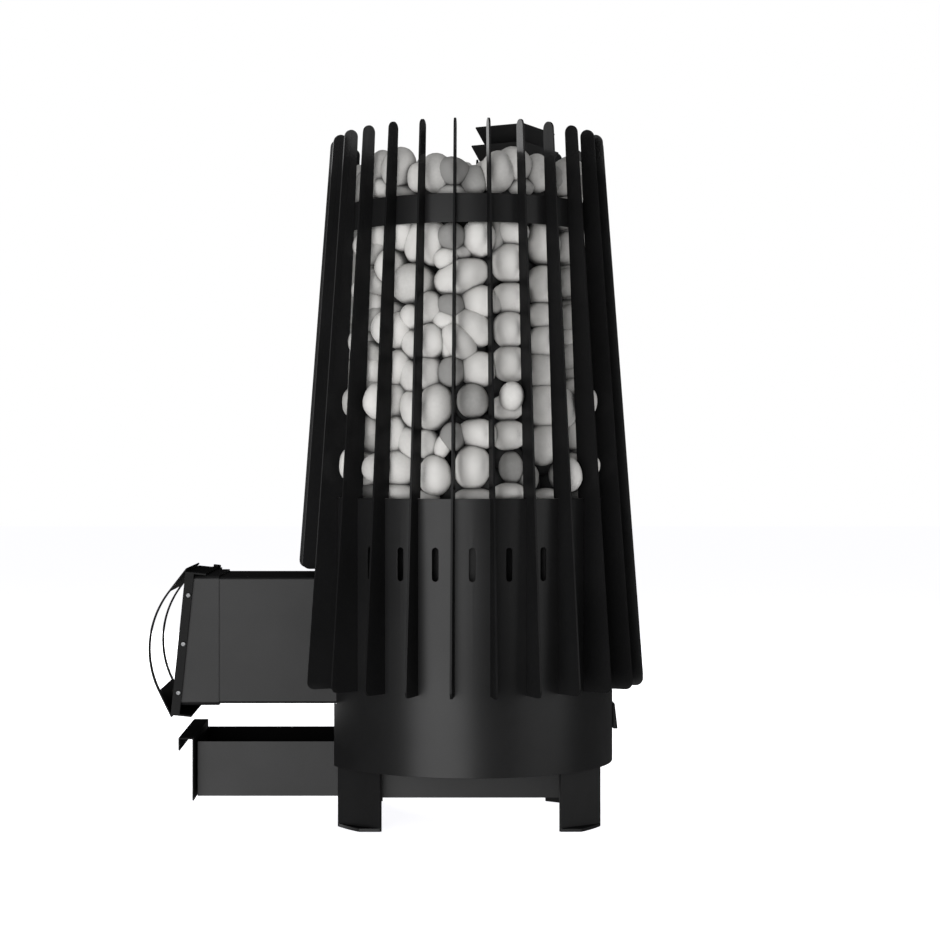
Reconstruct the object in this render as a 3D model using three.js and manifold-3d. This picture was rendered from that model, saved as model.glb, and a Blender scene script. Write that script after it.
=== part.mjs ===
// A wood-burning sauna stove: a slotted round casing in a cage of upright fins that holds the stones,
// a fuel tunnel with a leaning door, an ash drawer under it, and a water hopper among the stones.
// Millimetres, +Z up. While it is built, the stove's axis is at X = 0, Y = 0 and the floor at Z = 0.
// The door is at -X. At the end the whole stove is moved so that its box stands centred on the origin.
import * as THREE from "three";
import { mergeVertices } from "three/addons/utils/BufferGeometryUtils.js";
import Module from "manifold-3d";

// Gap between pieces that touch, and what a cutting tool reaches past the face that it cuts
const GAP = 0.3;
const CUT_PAST = 5;

// Casing
const CASING_RADIUS = 188;
const CASING_WALL = 2;
const CASING_BOTTOM_Z = 76;
const CASING_TOP_Z = 414;
const SLOT_WIDTH = 8;
const SLOT_HEIGHT = 41;
const SLOT_BOTTOM_Z = 313.7;

// Fins
const FIN_COUNT = 26;
const FIN_THICKNESS = 2.4;
const FIN_BOTTOM_Z = 175;
const FIN_TOP_Z = 878.4;
const FIN_DEPTH_AT_BOTTOM = 41.6;
const FIN_TIP_OUTER_RADIUS = 177.4;
const FIN_TIP_WIDTH = 18.2;
const FIN_RIM_OVERLAP = 8;
const FIN_CORNER = 10;
const SHORT_FIN_LIFT = 8.5;
const BAND_BOTTOM_Z = 752;
const BAND_HEIGHT = 35.5;
const BAND_WALL = 2;

// Firebox
const AIR_SPACE = 24.6;
const fireboxRadius = CASING_RADIUS - CASING_WALL - AIR_SPACE;
const FIREBOX_WALL = 4;
const FLOOR_Z = 118;
const FLOOR_THICKNESS = 4;
const CROWN_Z = 400.3;
const CROWN_THICKNESS = 6;
const CROWN_VENTS = 13;
const CROWN_VENT_LENGTH = 30;
const GRATE_LENGTH = 204;
const GRATE_WIDTH = 134;
const GRATE_THICKNESS = 8;
const GRATE_BORDER = 14;
const GRATE_SLOTS = 9;
const GRATE_SLOT_WIDTH = 10;
const GRATE_LEDGE = 10;

// Flue
const FLUE_RADIUS = 57.5;
const FLUE_WALL = 2;
const FLUE_FROM_CAGE = 94.2;
const FLUE_BELOW_STONES = 13;
const FLUE_FLANGE_WIDTH = 8;
const FLUE_FLANGE_THICKNESS = 3;

// Water hopper, its tray and its tube
const HOPPER_FROM_CAGE = 96.2;
const HOPPER_TURN = THREE.MathUtils.degToRad(-29);
const HOPPER_LENGTH = 69;
const HOPPER_WIDTH = 96;
const HOPPER_TOP_Z = 890;
const HOPPER_HEIGHT = 42;
const HOPPER_WALL = 1.5;
const HOPPER_TAPER = 0.54;
const TRAY_RIM_SCALE = 1.1;
const TRAY_BASE_SCALE = 0.85;
const TRAY_HEIGHT = 23;
const TRAY_DROP = 5;
const TUBE_RADIUS = 18;
const TUBE_WALL = 1.5;
const TUBE_OUTLET_WIDTH = 16;
const TUBE_OUTLET_HEIGHT = 12;

// Stones
const STONE_OVER_TRAY = 3;
const STONE_ROWS = 9;
const STONE_FIRST_RISE = 42;
const STONE_INSET = 20;
const STONE_HALF_DEPTH = 18;
const STONE_TOP_INSET = 64;
const STONE_FILL = 0.97;
const STONE_CORE_INSET = 16;
const STONE_CORE_TOP_DROP = 29;

// Fuel tunnel and its collar
const TUNNEL_BOTTOM_Z = 155.2;
const TUNNEL_WALL = 3;
const TUNNEL_BEND = 3.5;
const TUNNEL_OUTSIDE = 152;
const tunnelFrontX = -CASING_RADIUS - TUNNEL_OUTSIDE;
const TUNNEL_REACH = 4;
const COLLAR_WALL = 2;
const COLLAR_LAP = 25;

// Door, in its own leaning frame: x back from its front face, z up along it
const DOOR_LEAN = THREE.MathUtils.degToRad(5.83);
const DOOR_STANDOFF = 35.3;
const DOOR_BELOW_TUNNEL = 13.8;
const DOOR_WIDTH = 182;
const DOOR_HEIGHT = 181;
const DOOR_SIDE_LAP = 6.5;
const DOOR_HEIGHT_LAP = 21.7;
const DOOR_SHEET = 2;
const DOOR_FLANGE = 26;
const DOOR_STRIP = 11;
const GLASS_SIDE_BORDER = 23;
const GLASS_END_BORDER = 22.5;
const GLASS_THICKNESS = 4;
const GLASS_LAP = 8;
const RETAINER_LAP = 7;
const RETAINER_THICKNESS = 2;
const SEAL_WIDTH = 7;
const SEAL_THICKNESS = 3;
const SCREW_COUNT = 3;
const SCREW_PITCH = 61.5;
const SCREW_X = 6.9;
const SCREW_HEAD_RADIUS = 3.1;
const SCREW_HEAD_HEIGHT = 2;
const SCREW_SHANK_RADIUS = 1.6;
const SCREW_SHANK_LENGTH = 4;
const HINGE_X = 24;
const HINGE_OFFSET = 4;
const HINGE_EAR = 7;
const HINGE_PIN_RADIUS = 3;
const HINGE_PIN_HEAD_RADIUS = 5;
const HINGE_PIN_HEAD_HEIGHT = 3;
const HINGE_LUG_THICKNESS = 3;
const doorFrontX = tunnelFrontX - DOOR_STANDOFF;
const doorBottomZ = TUNNEL_BOTTOM_Z - DOOR_BELOW_TUNNEL;
const tunnelWidth = DOOR_WIDTH - 2 * DOOR_SIDE_LAP;
const tunnelHeight = DOOR_HEIGHT - DOOR_HEIGHT_LAP;
const glassWidth = DOOR_WIDTH - 2 * GLASS_SIDE_BORDER;
const glassHeight = DOOR_HEIGHT - 2 * GLASS_END_BORDER;

// Guard in front of the door
const GUARD_SIDE_INSET = 10;
const GUARD_SHEET = 2;
const GUARD_END_RISE = 7.92;
const GUARD_BOW = 38;
const GUARD_HALF_ARC = THREE.MathUtils.degToRad(32);
const GUARD_RAIL = 11;

// Ash drawer and its channel
const DRAWER_WIDTH = 155.2;
const DRAWER_HEIGHT = 69;
const DRAWER_WALL = 1.5;
const DRAWER_BACK_ROOM = 21.4;
const DRAWER_STANDOFF = 5.2;
const DRAWER_SIDE_PLAY = 0.8;
const DRAWER_FRONT_WIDTH = 200;
const DRAWER_FRONT_BOTTOM_Z = 35.4;
const DRAWER_FRONT_HEIGHT = 78.6;
const DRAWER_FRONT_SHEET = 2;
const PULL_REACH = 19.5;
const PULL_LIP = 16;
const CHANNEL_BOTTOM_Z = 36;
const CHANNEL_WALL = 1.5;
const CHANNEL_SIDE_PLAY = 1.5;
const CHANNEL_FRONT_ROOM = 11.4;
const CHANNEL_BACK_PLAY = 8;

// Legs
const LEG_WIDTH = 67;
const LEG_THICKNESS = 4;
const LEG_UNDER_TUNNEL = 6;
const LEG_AZIMUTH = THREE.MathUtils.degToRad(52.5);
const LEG_START = 15.3;
const FOOT_THICKNESS = 4;
const FOOT_SETBACK = 4;

// Rear bracket
const BRACKET_BOTTOM_Z = 115;
const BRACKET_HEIGHT = 33;
const BRACKET_WIDTH = 30;
const BRACKET_DEPTH = 6;
const BRACKET_HOLE_RADIUS = 4;

// How finely round shapes are cut into flats
const SEGMENTS_PER_FIN = 3;
const ROUND_SEGMENTS = SEGMENTS_PER_FIN * FIN_COUNT;
const TUBE_SEGMENTS = 24;
const SMALL_SEGMENTS = 12;
const CURVE_SEGMENTS = 6;
const SLOT_SEGMENTS = 2;

// Radius of an icosahedron that reaches one unit along each axis
const UNIT_ICOSAHEDRON = Math.sqrt(5 - Math.sqrt(5)) / Math.sqrt(2);
const WELD_TOLERANCE = 1e-4;

const wasm = await Module();
wasm.setup();

const darkSteel = new THREE.MeshStandardMaterial({ color: 0x1b1b1d, roughness: 0.6, metalness: 0.4 });
const greySteel = new THREE.MeshStandardMaterial({ color: 0x434345, roughness: 0.6, metalness: 0.4 });
const castIron = new THREE.MeshStandardMaterial({ color: 0x2b2b2b, roughness: 0.9, metalness: 0.3 });
const zinc = new THREE.MeshStandardMaterial({ color: 0xc9ccd0, roughness: 0.3, metalness: 1 });
const heatGlass = new THREE.MeshStandardMaterial({ color: 0x3a3026, roughness: 0.1, metalness: 0 });
const sealRope = new THREE.MeshStandardMaterial({ color: 0x2a2a2a, roughness: 1, metalness: 0 });
const paleStone = new THREE.MeshStandardMaterial({ color: 0xbdbab5, roughness: 0.9, metalness: 0 });

const stove = new THREE.Group();
const doorFrame = new THREE.Group();
doorFrame.position.set(doorFrontX, 0, doorBottomZ);
doorFrame.rotation.y = DOOR_LEAN;
doorFrame.updateMatrix();
stove.add(doorFrame);

// A closed geometry as a solid that can be joined and cut
function solid(geometry) {
  const bare = new THREE.BufferGeometry();
  bare.setAttribute("position", geometry.getAttribute("position"));
  if (geometry.index) bare.setIndex(geometry.index);
  const merged = mergeVertices(bare, WELD_TOLERANCE);
  const mesh = new wasm.Mesh({
    numProp: 3,
    vertProperties: merged.attributes.position.array,
    triVerts: new Uint32Array(merged.index.array),
  });
  return new wasm.Manifold(mesh);
}

// A solid as a geometry again
function geometryOf(body) {
  const mesh = body.getMesh();
  const geometry = new THREE.BufferGeometry();
  geometry.setAttribute("position", new THREE.BufferAttribute(mesh.vertProperties, 3));
  geometry.setIndex(new THREE.BufferAttribute(mesh.triVerts, 1));
  return geometry;
}

function addPiece(name, body, material, parent = stove) {
  const geometry = body.isBufferGeometry ? body : geometryOf(body);
  const piece = new THREE.Mesh(geometry, material);
  piece.name = name;
  parent.add(piece);
  return piece;
}

function boxGeometry(low, high) {
  const size = new THREE.Vector3(...high).sub(new THREE.Vector3(...low));
  const middle = new THREE.Vector3(...high).add(new THREE.Vector3(...low)).multiplyScalar(0.5);
  return new THREE.BoxGeometry(size.x, size.y, size.z).translate(middle.x, middle.y, middle.z);
}

function box(low, high) {
  return solid(boxGeometry(low, high));
}

// A profile of [radius, z] points, listed upwards on its outside, turned round the upright axis,
// with the first edge between its flats at +X, where the first fin stands
function turned(profile, segments = ROUND_SEGMENTS) {
  const points = profile.map(([radius, z]) => new THREE.Vector2(radius, z));
  points.push(points[0].clone());
  return new THREE.LatheGeometry(points, segments).rotateX(Math.PI / 2).rotateZ(Math.PI / 2);
}

function pipeGeometry(radius, wall, lowZ, highZ, segments = ROUND_SEGMENTS) {
  return turned(
    [
      [radius, lowZ],
      [radius, highZ],
      [radius - wall, highZ],
      [radius - wall, lowZ],
    ],
    segments,
  );
}

// An upright round bar
function bar(radius, lowZ, highZ, segments = SMALL_SEGMENTS) {
  const height = highZ - lowZ;
  return new THREE.CylinderGeometry(radius, radius, height, segments)
    .rotateX(Math.PI / 2)
    .translate(0, 0, lowZ + height / 2);
}

// A flat shape in X and Y raised from lowZ to highZ
function raised(shape, lowZ, highZ, curveSegments = CURVE_SEGMENTS) {
  const settings = { depth: highZ - lowZ, bevelEnabled: false, curveSegments };
  return new THREE.ExtrudeGeometry(shape, settings).translate(0, 0, lowZ);
}

// A shape drawn with x outwards and y upwards, given its thickness across Y
function upright(shape, thickness, curveSegments = CURVE_SEGMENTS) {
  return raised(shape, -thickness / 2, thickness / 2, curveSegments).rotateX(Math.PI / 2);
}

function roundedRectangle(width, height, corner) {
  const x = width / 2;
  const y = height / 2;
  const shape = new THREE.Shape();
  shape.moveTo(-x + corner, -y);
  shape.lineTo(x - corner, -y);
  shape.absarc(x - corner, -y + corner, corner, -Math.PI / 2, 0);
  shape.lineTo(x, y - corner);
  shape.absarc(x - corner, y - corner, corner, 0, Math.PI / 2);
  shape.lineTo(-x + corner, y);
  shape.absarc(-x + corner, y - corner, corner, Math.PI / 2, Math.PI);
  shape.lineTo(-x, -y + corner);
  shape.absarc(-x + corner, -y + corner, corner, Math.PI, Math.PI * 1.5);
  return shape;
}

// A square tube along X with bent corners, hollow inside its wall
function squareTube(width, height, wall, bend, frontX, backX, bottomZ) {
  const across = (sideWidth, sideHeight, corner, lowX, highX) =>
    raised(roundedRectangle(sideWidth, sideHeight, corner), lowX, highX, SLOT_SEGMENTS)
      .applyMatrix4(new THREE.Matrix4().makeBasis(
        new THREE.Vector3(0, 1, 0),
        new THREE.Vector3(0, 0, 1),
        new THREE.Vector3(1, 0, 0),
      ))
      .translate(0, 0, bottomZ + height / 2);
  const outside = solid(across(width, height, bend, frontX, backX));
  const hollow = across(width - 2 * wall, height - 2 * wall, bend / 2, frontX - CUT_PAST, backX + CUT_PAST);
  return outside.subtract(solid(hollow));
}

// Tunnel sizes that its neighbours share
const tunnelHalf = tunnelWidth / 2;
const tunnelTopZ = TUNNEL_BOTTOM_Z + tunnelHeight;

// The opening that the tunnel passes through in a round wall of the given radius
function tunnelOpening(radius) {
  return box(
    [-radius - CUT_PAST, -tunnelHalf - GAP, TUNNEL_BOTTOM_Z - GAP],
    [-radius / 2, tunnelHalf + GAP, tunnelTopZ + GAP],
  );
}

// Fins
const finStep = (2 * Math.PI) / FIN_COUNT;
const finRimRadius = CASING_RADIUS - FIN_RIM_OVERLAP;
const finRimZ = CASING_TOP_Z + GAP;
const finTipZ = FIN_TOP_Z - FIN_TIP_WIDTH / 2;
const finTipInnerRadius = FIN_TIP_OUTER_RADIUS - FIN_TIP_WIDTH;

// Flue and hopper stand off the two sides of the cage
const flueX = FLUE_FROM_CAGE - finTipInnerRadius;
const hopperX = finTipInnerRadius - HOPPER_FROM_CAGE;

// Radius of the fins' inner edge at a height over the casing
function finInnerRadius(z) {
  const part = (z - finRimZ) / (finTipZ - finRimZ);
  return THREE.MathUtils.lerp(finRimRadius, finTipInnerRadius, part);
}

function finOuterRadius(z) {
  const part = (z - FIN_BOTTOM_Z) / (finTipZ - FIN_BOTTOM_Z);
  return THREE.MathUtils.lerp(CASING_RADIUS + FIN_DEPTH_AT_BOTTOM, FIN_TIP_OUTER_RADIUS, part);
}

function finGeometry(bottomZ) {
  const rootRadius = CASING_RADIUS + GAP;
  const shape = new THREE.Shape();
  shape.moveTo(rootRadius, bottomZ);
  shape.lineTo(finOuterRadius(bottomZ) - FIN_CORNER, bottomZ);
  shape.quadraticCurveTo(
    finOuterRadius(bottomZ),
    bottomZ,
    finOuterRadius(bottomZ + FIN_CORNER),
    bottomZ + FIN_CORNER,
  );
  shape.lineTo(FIN_TIP_OUTER_RADIUS, finTipZ);
  shape.absarc(FIN_TIP_OUTER_RADIUS - FIN_TIP_WIDTH / 2, finTipZ, FIN_TIP_WIDTH / 2, 0, Math.PI);
  shape.lineTo(finRimRadius, finRimZ);
  shape.lineTo(rootRadius, finRimZ);
  return upright(shape, FIN_THICKNESS);
}

function addFins() {
  for (let i = 0; i < FIN_COUNT; i++) {
    const angle = i * finStep;
    const nearTunnel = CASING_RADIUS * Math.abs(Math.sin(angle)) < tunnelHalf + FIN_THICKNESS / 2 + GAP;
    const overTunnel = nearTunnel && Math.cos(angle) < 0;
    const bottomZ = overTunnel ? tunnelTopZ + SHORT_FIN_LIFT : FIN_BOTTOM_Z;
    const name = `fin_${String(i + 1).padStart(2, "0")}`;
    const fin = addPiece(name, finGeometry(bottomZ), darkSteel);
    fin.rotation.z = angle;
  }
}

function addBand() {
  const bandTopZ = BAND_BOTTOM_Z + BAND_HEIGHT;
  const lowRadius = finInnerRadius(BAND_BOTTOM_Z) - GAP;
  const highRadius = finInnerRadius(bandTopZ) - GAP;
  const band = turned([
    [lowRadius, BAND_BOTTOM_Z],
    [highRadius, bandTopZ],
    [highRadius - BAND_WALL, bandTopZ],
    [lowRadius - BAND_WALL, BAND_BOTTOM_Z],
  ]);
  addPiece("top_band", band, darkSteel);
}

// Casing with a slot between each pair of fins, open in front for the tunnel and the drawer
function addCasing() {
  let casing = solid(pipeGeometry(CASING_RADIUS, CASING_WALL, CASING_BOTTOM_Z, CASING_TOP_Z));
  const slotShape = roundedRectangle(SLOT_WIDTH, SLOT_HEIGHT, SLOT_WIDTH / 2);
  const slotReach = CASING_WALL + 2 * CUT_PAST;
  const slot = upright(slotShape, slotReach, SLOT_SEGMENTS)
    .rotateZ(Math.PI / 2)
    .translate(CASING_RADIUS, 0, SLOT_BOTTOM_Z + SLOT_HEIGHT / 2);
  for (let i = 0; i < FIN_COUNT; i++) {
    const angle = (i + 0.5) * finStep;
    const overTunnel = CASING_RADIUS * Math.abs(Math.sin(angle)) < tunnelHalf && Math.cos(angle) < 0;
    if (!overTunnel) casing = casing.subtract(solid(slot.clone().rotateZ(angle)));
  }
  const mouthHalf = DRAWER_WIDTH / 2 + DRAWER_SIDE_PLAY;
  const drawerMouth = box(
    [-CASING_RADIUS - CUT_PAST, -mouthHalf, CASING_BOTTOM_Z - CUT_PAST],
    [-CASING_RADIUS / 2, mouthHalf, TUNNEL_BOTTOM_Z],
  );
  addPiece("casing", casing.subtract(tunnelOpening(CASING_RADIUS)).subtract(drawerMouth), darkSteel);
}

// Firebox: a welded round wall on a floor plate, closed by a crown plate that carries the stones
const floorTopZ = FLOOR_Z + FLOOR_THICKNESS;
const crownTopZ = CROWN_Z + CROWN_THICKNESS;

function addFirebox() {
  const wall = solid(pipeGeometry(fireboxRadius, FIREBOX_WALL, floorTopZ + GAP, CROWN_Z - GAP));
  addPiece("firebox_shell", wall.subtract(tunnelOpening(fireboxRadius)), darkSteel);

  const floor = solid(bar(fireboxRadius, FLOOR_Z, floorTopZ, ROUND_SEGMENTS));
  const holeHalfLength = GRATE_LENGTH / 2 - GRATE_LEDGE;
  const holeHalfWidth = GRATE_WIDTH / 2 - GRATE_LEDGE;
  const ashHole = box(
    [-holeHalfLength, -holeHalfWidth, FLOOR_Z - CUT_PAST],
    [holeHalfLength, holeHalfWidth, floorTopZ + CUT_PAST],
  );
  addPiece("firebox_floor", floor.subtract(ashHole), darkSteel);

  const crownRadius = CASING_RADIUS - CASING_WALL - GAP;
  let crown = solid(bar(crownRadius, CROWN_Z, crownTopZ, ROUND_SEGMENTS));
  const ventWidth = (crownRadius - fireboxRadius) / 2;
  const ventRadius = (crownRadius + fireboxRadius) / 2;
  const ventShape = roundedRectangle(ventWidth, CROWN_VENT_LENGTH, ventWidth / 2);
  const vent = raised(ventShape, CROWN_Z - CUT_PAST, crownTopZ + CUT_PAST, SLOT_SEGMENTS)
    .translate(ventRadius, 0, 0);
  for (let i = 0; i < CROWN_VENTS; i++) {
    crown = crown.subtract(solid(vent.clone().rotateZ((i * 2 * Math.PI) / CROWN_VENTS)));
  }
  const flueHole = bar(FLUE_RADIUS - FLUE_WALL, CROWN_Z - CUT_PAST, crownTopZ + CUT_PAST, TUBE_SEGMENTS);
  addPiece("firebox_crown", crown.subtract(solid(flueHole.translate(flueX, 0, 0))), darkSteel);
}

function addGrate() {
  const lowZ = floorTopZ + GAP;
  const highZ = lowZ + GRATE_THICKNESS;
  let grate = box([-GRATE_LENGTH / 2, -GRATE_WIDTH / 2, lowZ], [GRATE_LENGTH / 2, GRATE_WIDTH / 2, highZ]);
  const slotHalfWidth = GRATE_WIDTH / 2 - GRATE_BORDER;
  const pitch = (GRATE_LENGTH - 2 * GRATE_BORDER) / GRATE_SLOTS;
  for (let i = 0; i < GRATE_SLOTS; i++) {
    const middleX = (i - (GRATE_SLOTS - 1) / 2) * pitch;
    const slot = box(
      [middleX - GRATE_SLOT_WIDTH / 2, -slotHalfWidth, lowZ - CUT_PAST],
      [middleX + GRATE_SLOT_WIDTH / 2, slotHalfWidth, highZ + CUT_PAST],
    );
    grate = grate.subtract(slot);
  }
  addPiece("grate", grate, castIron);
}

// Flue spigot: a pipe on a flange that sits on the crown
function addFlue() {
  const baseZ = crownTopZ + GAP;
  const flangeTopZ = baseZ + FLUE_FLANGE_THICKNESS;
  const flangeRadius = FLUE_RADIUS + FLUE_FLANGE_WIDTH;
  const spigot = turned(
    [
      [flangeRadius, baseZ],
      [flangeRadius, flangeTopZ],
      [FLUE_RADIUS, flangeTopZ],
      [FLUE_RADIUS, flueTopZ],
      [FLUE_RADIUS - FLUE_WALL, flueTopZ],
      [FLUE_RADIUS - FLUE_WALL, baseZ],
    ],
    TUBE_SEGMENTS,
  );
  addPiece("flue_spigot", spigot.translate(flueX, 0, 0), darkSteel);
}

// A four-sided funnel block between two rectangles, each the hopper's rim times a scale
function funnelBlock(lowScale, highScale, lowZ, highZ, inset) {
  const corners = [];
  const levels = [
    [lowScale, lowZ],
    [highScale, highZ],
  ];
  for (const [scale, z] of levels) {
    const x = (HOPPER_LENGTH / 2) * scale - inset;
    const y = (HOPPER_WIDTH / 2) * scale - inset;
    corners.push([-x, -y, z], [x, -y, z], [x, y, z], [-x, y, z]);
  }
  const quads = [
    [3, 2, 1, 0],
    [4, 5, 6, 7],
    [0, 1, 5, 4],
    [1, 2, 6, 5],
    [2, 3, 7, 6],
    [3, 0, 4, 7],
  ];
  const index = quads.flatMap(([a, b, c, d]) => [a, b, c, a, c, d]);
  const geometry = new THREE.BufferGeometry();
  geometry.setAttribute("position", new THREE.Float32BufferAttribute(corners.flat(), 3));
  geometry.setIndex(index);
  return solid(geometry.rotateZ(HOPPER_TURN).translate(hopperX, 0, 0));
}

const hopperBaseZ = HOPPER_TOP_Z - HOPPER_HEIGHT;
const trayBaseZ = hopperBaseZ - TRAY_DROP;
const stoneTopZ = trayBaseZ + STONE_OVER_TRAY;
const flueTopZ = stoneTopZ - FLUE_BELOW_STONES;

function tubeHole(radius, lowZ, highZ) {
  return solid(bar(radius, lowZ - CUT_PAST, highZ + CUT_PAST, TUBE_SEGMENTS).translate(hopperX, 0, 0));
}

// Water hopper: a flared funnel over a shallow tray, on a tube that leads the water to the crown
function addHopper() {
  const slope = (1 - HOPPER_TAPER) / HOPPER_HEIGHT;
  const funnel = funnelBlock(HOPPER_TAPER, 1, hopperBaseZ, HOPPER_TOP_Z, 0);
  const hollow = funnelBlock(
    HOPPER_TAPER + slope * HOPPER_WALL,
    1 + slope * CUT_PAST,
    hopperBaseZ + HOPPER_WALL,
    HOPPER_TOP_Z + CUT_PAST,
    HOPPER_WALL,
  );
  const drain = tubeHole(TUBE_RADIUS - TUBE_WALL, hopperBaseZ, hopperBaseZ);
  addPiece("water_hopper", funnel.subtract(hollow).subtract(drain), darkSteel);

  const trayTopZ = trayBaseZ + TRAY_HEIGHT;
  const traySlope = (TRAY_RIM_SCALE - TRAY_BASE_SCALE) / TRAY_HEIGHT;
  const tray = funnelBlock(TRAY_BASE_SCALE, TRAY_RIM_SCALE, trayBaseZ, trayTopZ, 0);
  const trayHollow = funnelBlock(
    TRAY_BASE_SCALE + traySlope * HOPPER_WALL,
    TRAY_RIM_SCALE + traySlope * CUT_PAST,
    trayBaseZ + HOPPER_WALL,
    trayTopZ + CUT_PAST,
    HOPPER_WALL,
  );
  const trayHole = tubeHole(TUBE_RADIUS + GAP, trayBaseZ, trayBaseZ);
  addPiece("hopper_tray", tray.subtract(trayHollow).subtract(trayHole), greySteel);

  const footZ = crownTopZ + GAP;
  const pipe = pipeGeometry(TUBE_RADIUS, TUBE_WALL, footZ, hopperBaseZ - GAP, TUBE_SEGMENTS);
  const outlet = box(
    [hopperX - TUBE_OUTLET_WIDTH / 2, -TUBE_RADIUS - CUT_PAST, footZ - CUT_PAST],
    [hopperX + TUBE_OUTLET_WIDTH / 2, TUBE_RADIUS + CUT_PAST, footZ + TUBE_OUTLET_HEIGHT],
  );
  addPiece("water_tube", solid(pipe.translate(hopperX, 0, 0)).subtract(outlet), darkSteel);
}

// Stones: rows of angular stones round a core, one in each gap between two fins, and a ring of them on top,
// held inside the cage and kept off flue and tube. Its near and far halves meet at the flue and the tube
function addStones() {
  const lowZ = crownTopZ + GAP;
  const cageClearance = 2 * GAP + BAND_WALL;
  const cageRadius = (z) => finInnerRadius(z) - cageClearance;
  const upTo = (topZ, inset) => {
    const profile = [
      [0, lowZ],
      [cageRadius(lowZ) - inset, lowZ],
      [cageRadius(topZ) - inset, topZ],
      [0, topZ],
    ];
    return solid(turned(profile, FIN_COUNT));
  };
  const coreTopZ = stoneTopZ - STONE_CORE_TOP_DROP;
  let stones = upTo(coreTopZ, STONE_CORE_INSET);
  const addStone = (radius, angle, z, halfSizes, turns) => {
    const stone = new THREE.IcosahedronGeometry(UNIT_ICOSAHEDRON)
      .rotateX((turns * Math.PI) / 2)
      .scale(...halfSizes)
      .translate(radius, 0, z)
      .rotateZ(angle);
    stones = stones.add(solid(stone));
  };
  const firstRowZ = lowZ + STONE_FIRST_RISE;
  const rowStep = (coreTopZ - firstRowZ) / (STONE_ROWS - 1);
  const halfHeight = (STONE_FILL * rowStep) / 2;
  for (let row = 0; row < STONE_ROWS; row++) {
    const z = firstRowZ + row * rowStep;
    const ringRadius = cageRadius(z) - STONE_INSET;
    const halfWidth = (STONE_FILL * ringRadius * finStep) / 2;
    for (let i = 0; i < FIN_COUNT; i++) {
      addStone(ringRadius, (i + 0.5) * finStep, z, [STONE_HALF_DEPTH, halfWidth, halfHeight], row + i);
    }
  }
  const flueRoomRadius = FLUE_RADIUS + FLUE_FLANGE_WIDTH + GAP;
  const topRadius = cageRadius(coreTopZ) - STONE_TOP_INSET;
  for (let i = 0; i < FIN_COUNT / 2; i++) {
    const angle = (2 * i + 1) * finStep;
    const x = topRadius * Math.cos(angle);
    const y = topRadius * Math.sin(angle);
    const flueRoomLeft = Math.hypot(x - flueX, y) - flueRoomRadius;
    const tubeRoomLeft = Math.hypot(x - hopperX, y) - TUBE_RADIUS;
    const onTheSplit = Math.abs(y) < STONE_INSET;
    if (Math.min(flueRoomLeft, tubeRoomLeft) > STONE_INSET && !onTheSplit) {
      addStone(topRadius, angle, coreTopZ, [STONE_HALF_DEPTH, STONE_HALF_DEPTH, halfHeight], i);
    }
  }
  const flueRoom = bar(flueRoomRadius, lowZ - CUT_PAST, stoneTopZ + CUT_PAST, TUBE_SEGMENTS);
  const trayRoom = funnelBlock(TRAY_RIM_SCALE, TRAY_RIM_SCALE, trayBaseZ - GAP, HOPPER_TOP_Z, -GAP);
  const held = stones
    .intersect(upTo(stoneTopZ, 0))
    .subtract(solid(flueRoom.translate(flueX, 0, 0)))
    .subtract(tubeHole(TUBE_RADIUS + GAP, lowZ, stoneTopZ))
    .subtract(trayRoom);
  const reach = cageRadius(lowZ) + CUT_PAST;
  const nearHalf = box([-reach, -reach, lowZ - CUT_PAST], [reach, -GAP / 2, stoneTopZ + CUT_PAST]);
  const farHalf = box([-reach, GAP / 2, lowZ - CUT_PAST], [reach, reach, stoneTopZ + CUT_PAST]);
  addPiece("stone_bed_near", held.intersect(nearHalf), paleStone);
  addPiece("stone_bed_far", held.intersect(farHalf), paleStone);
}

// Fuel tunnel: a folded square tube that passes through the casing into the firebox
function addTunnel() {
  const innerRadius = fireboxRadius - FIREBOX_WALL;
  const backX = -Math.sqrt(innerRadius ** 2 - tunnelHalf ** 2) + TUNNEL_REACH;
  const tunnel = squareTube(
    tunnelWidth,
    tunnelHeight,
    TUNNEL_WALL,
    TUNNEL_BEND,
    tunnelFrontX,
    backX,
    TUNNEL_BOTTOM_Z,
  );
  addPiece("fuel_tunnel", tunnel, greySteel);
}

// Places along the door's depth, from its sheet back to the collar's edge
const glassFrontX = DOOR_SHEET + GAP;
const retainerFrontX = glassFrontX + GLASS_THICKNESS + GAP;
const sealFrontX = DOOR_SHEET + GAP;
const collarFrontX = sealFrontX + SEAL_THICKNESS + GAP;
const doorHalf = DOOR_WIDTH / 2;
const hingeY = doorHalf + HINGE_OFFSET;
const collarHalf = tunnelHalf + GAP + COLLAR_WALL;
const doorMiddleZ = DOOR_HEIGHT / 2;
const sheetTopZ = DOOR_HEIGHT - DOOR_SHEET;
const upperLugZ = sheetTopZ - GAP - HINGE_LUG_THICKNESS;

// An upright round bar or hole on the hinge's axis, in the door's frame
function hingeBar(radius, lowZ, highZ) {
  return bar(radius, lowZ, highZ, TUBE_SEGMENTS).translate(HINGE_X, hingeY, 0);
}

// A round-ended plate from innerY out to the hinge's axis
function hingePlate(innerY, lowZ, highZ) {
  const plate = box([HINGE_X - HINGE_EAR, innerY, lowZ], [HINGE_X + HINGE_EAR, hingeY, highZ]);
  return plate.add(solid(hingeBar(HINGE_EAR, lowZ, highZ)));
}

function hingeHole(lowZ, highZ) {
  return solid(hingeBar(HINGE_PIN_RADIUS + GAP, lowZ - CUT_PAST, highZ + CUT_PAST));
}

// The same solid, taken from the door's leaning frame into the stove's
function leaned(body) {
  return solid(geometryOf(body).applyMatrix4(doorFrame.matrix));
}

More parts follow.
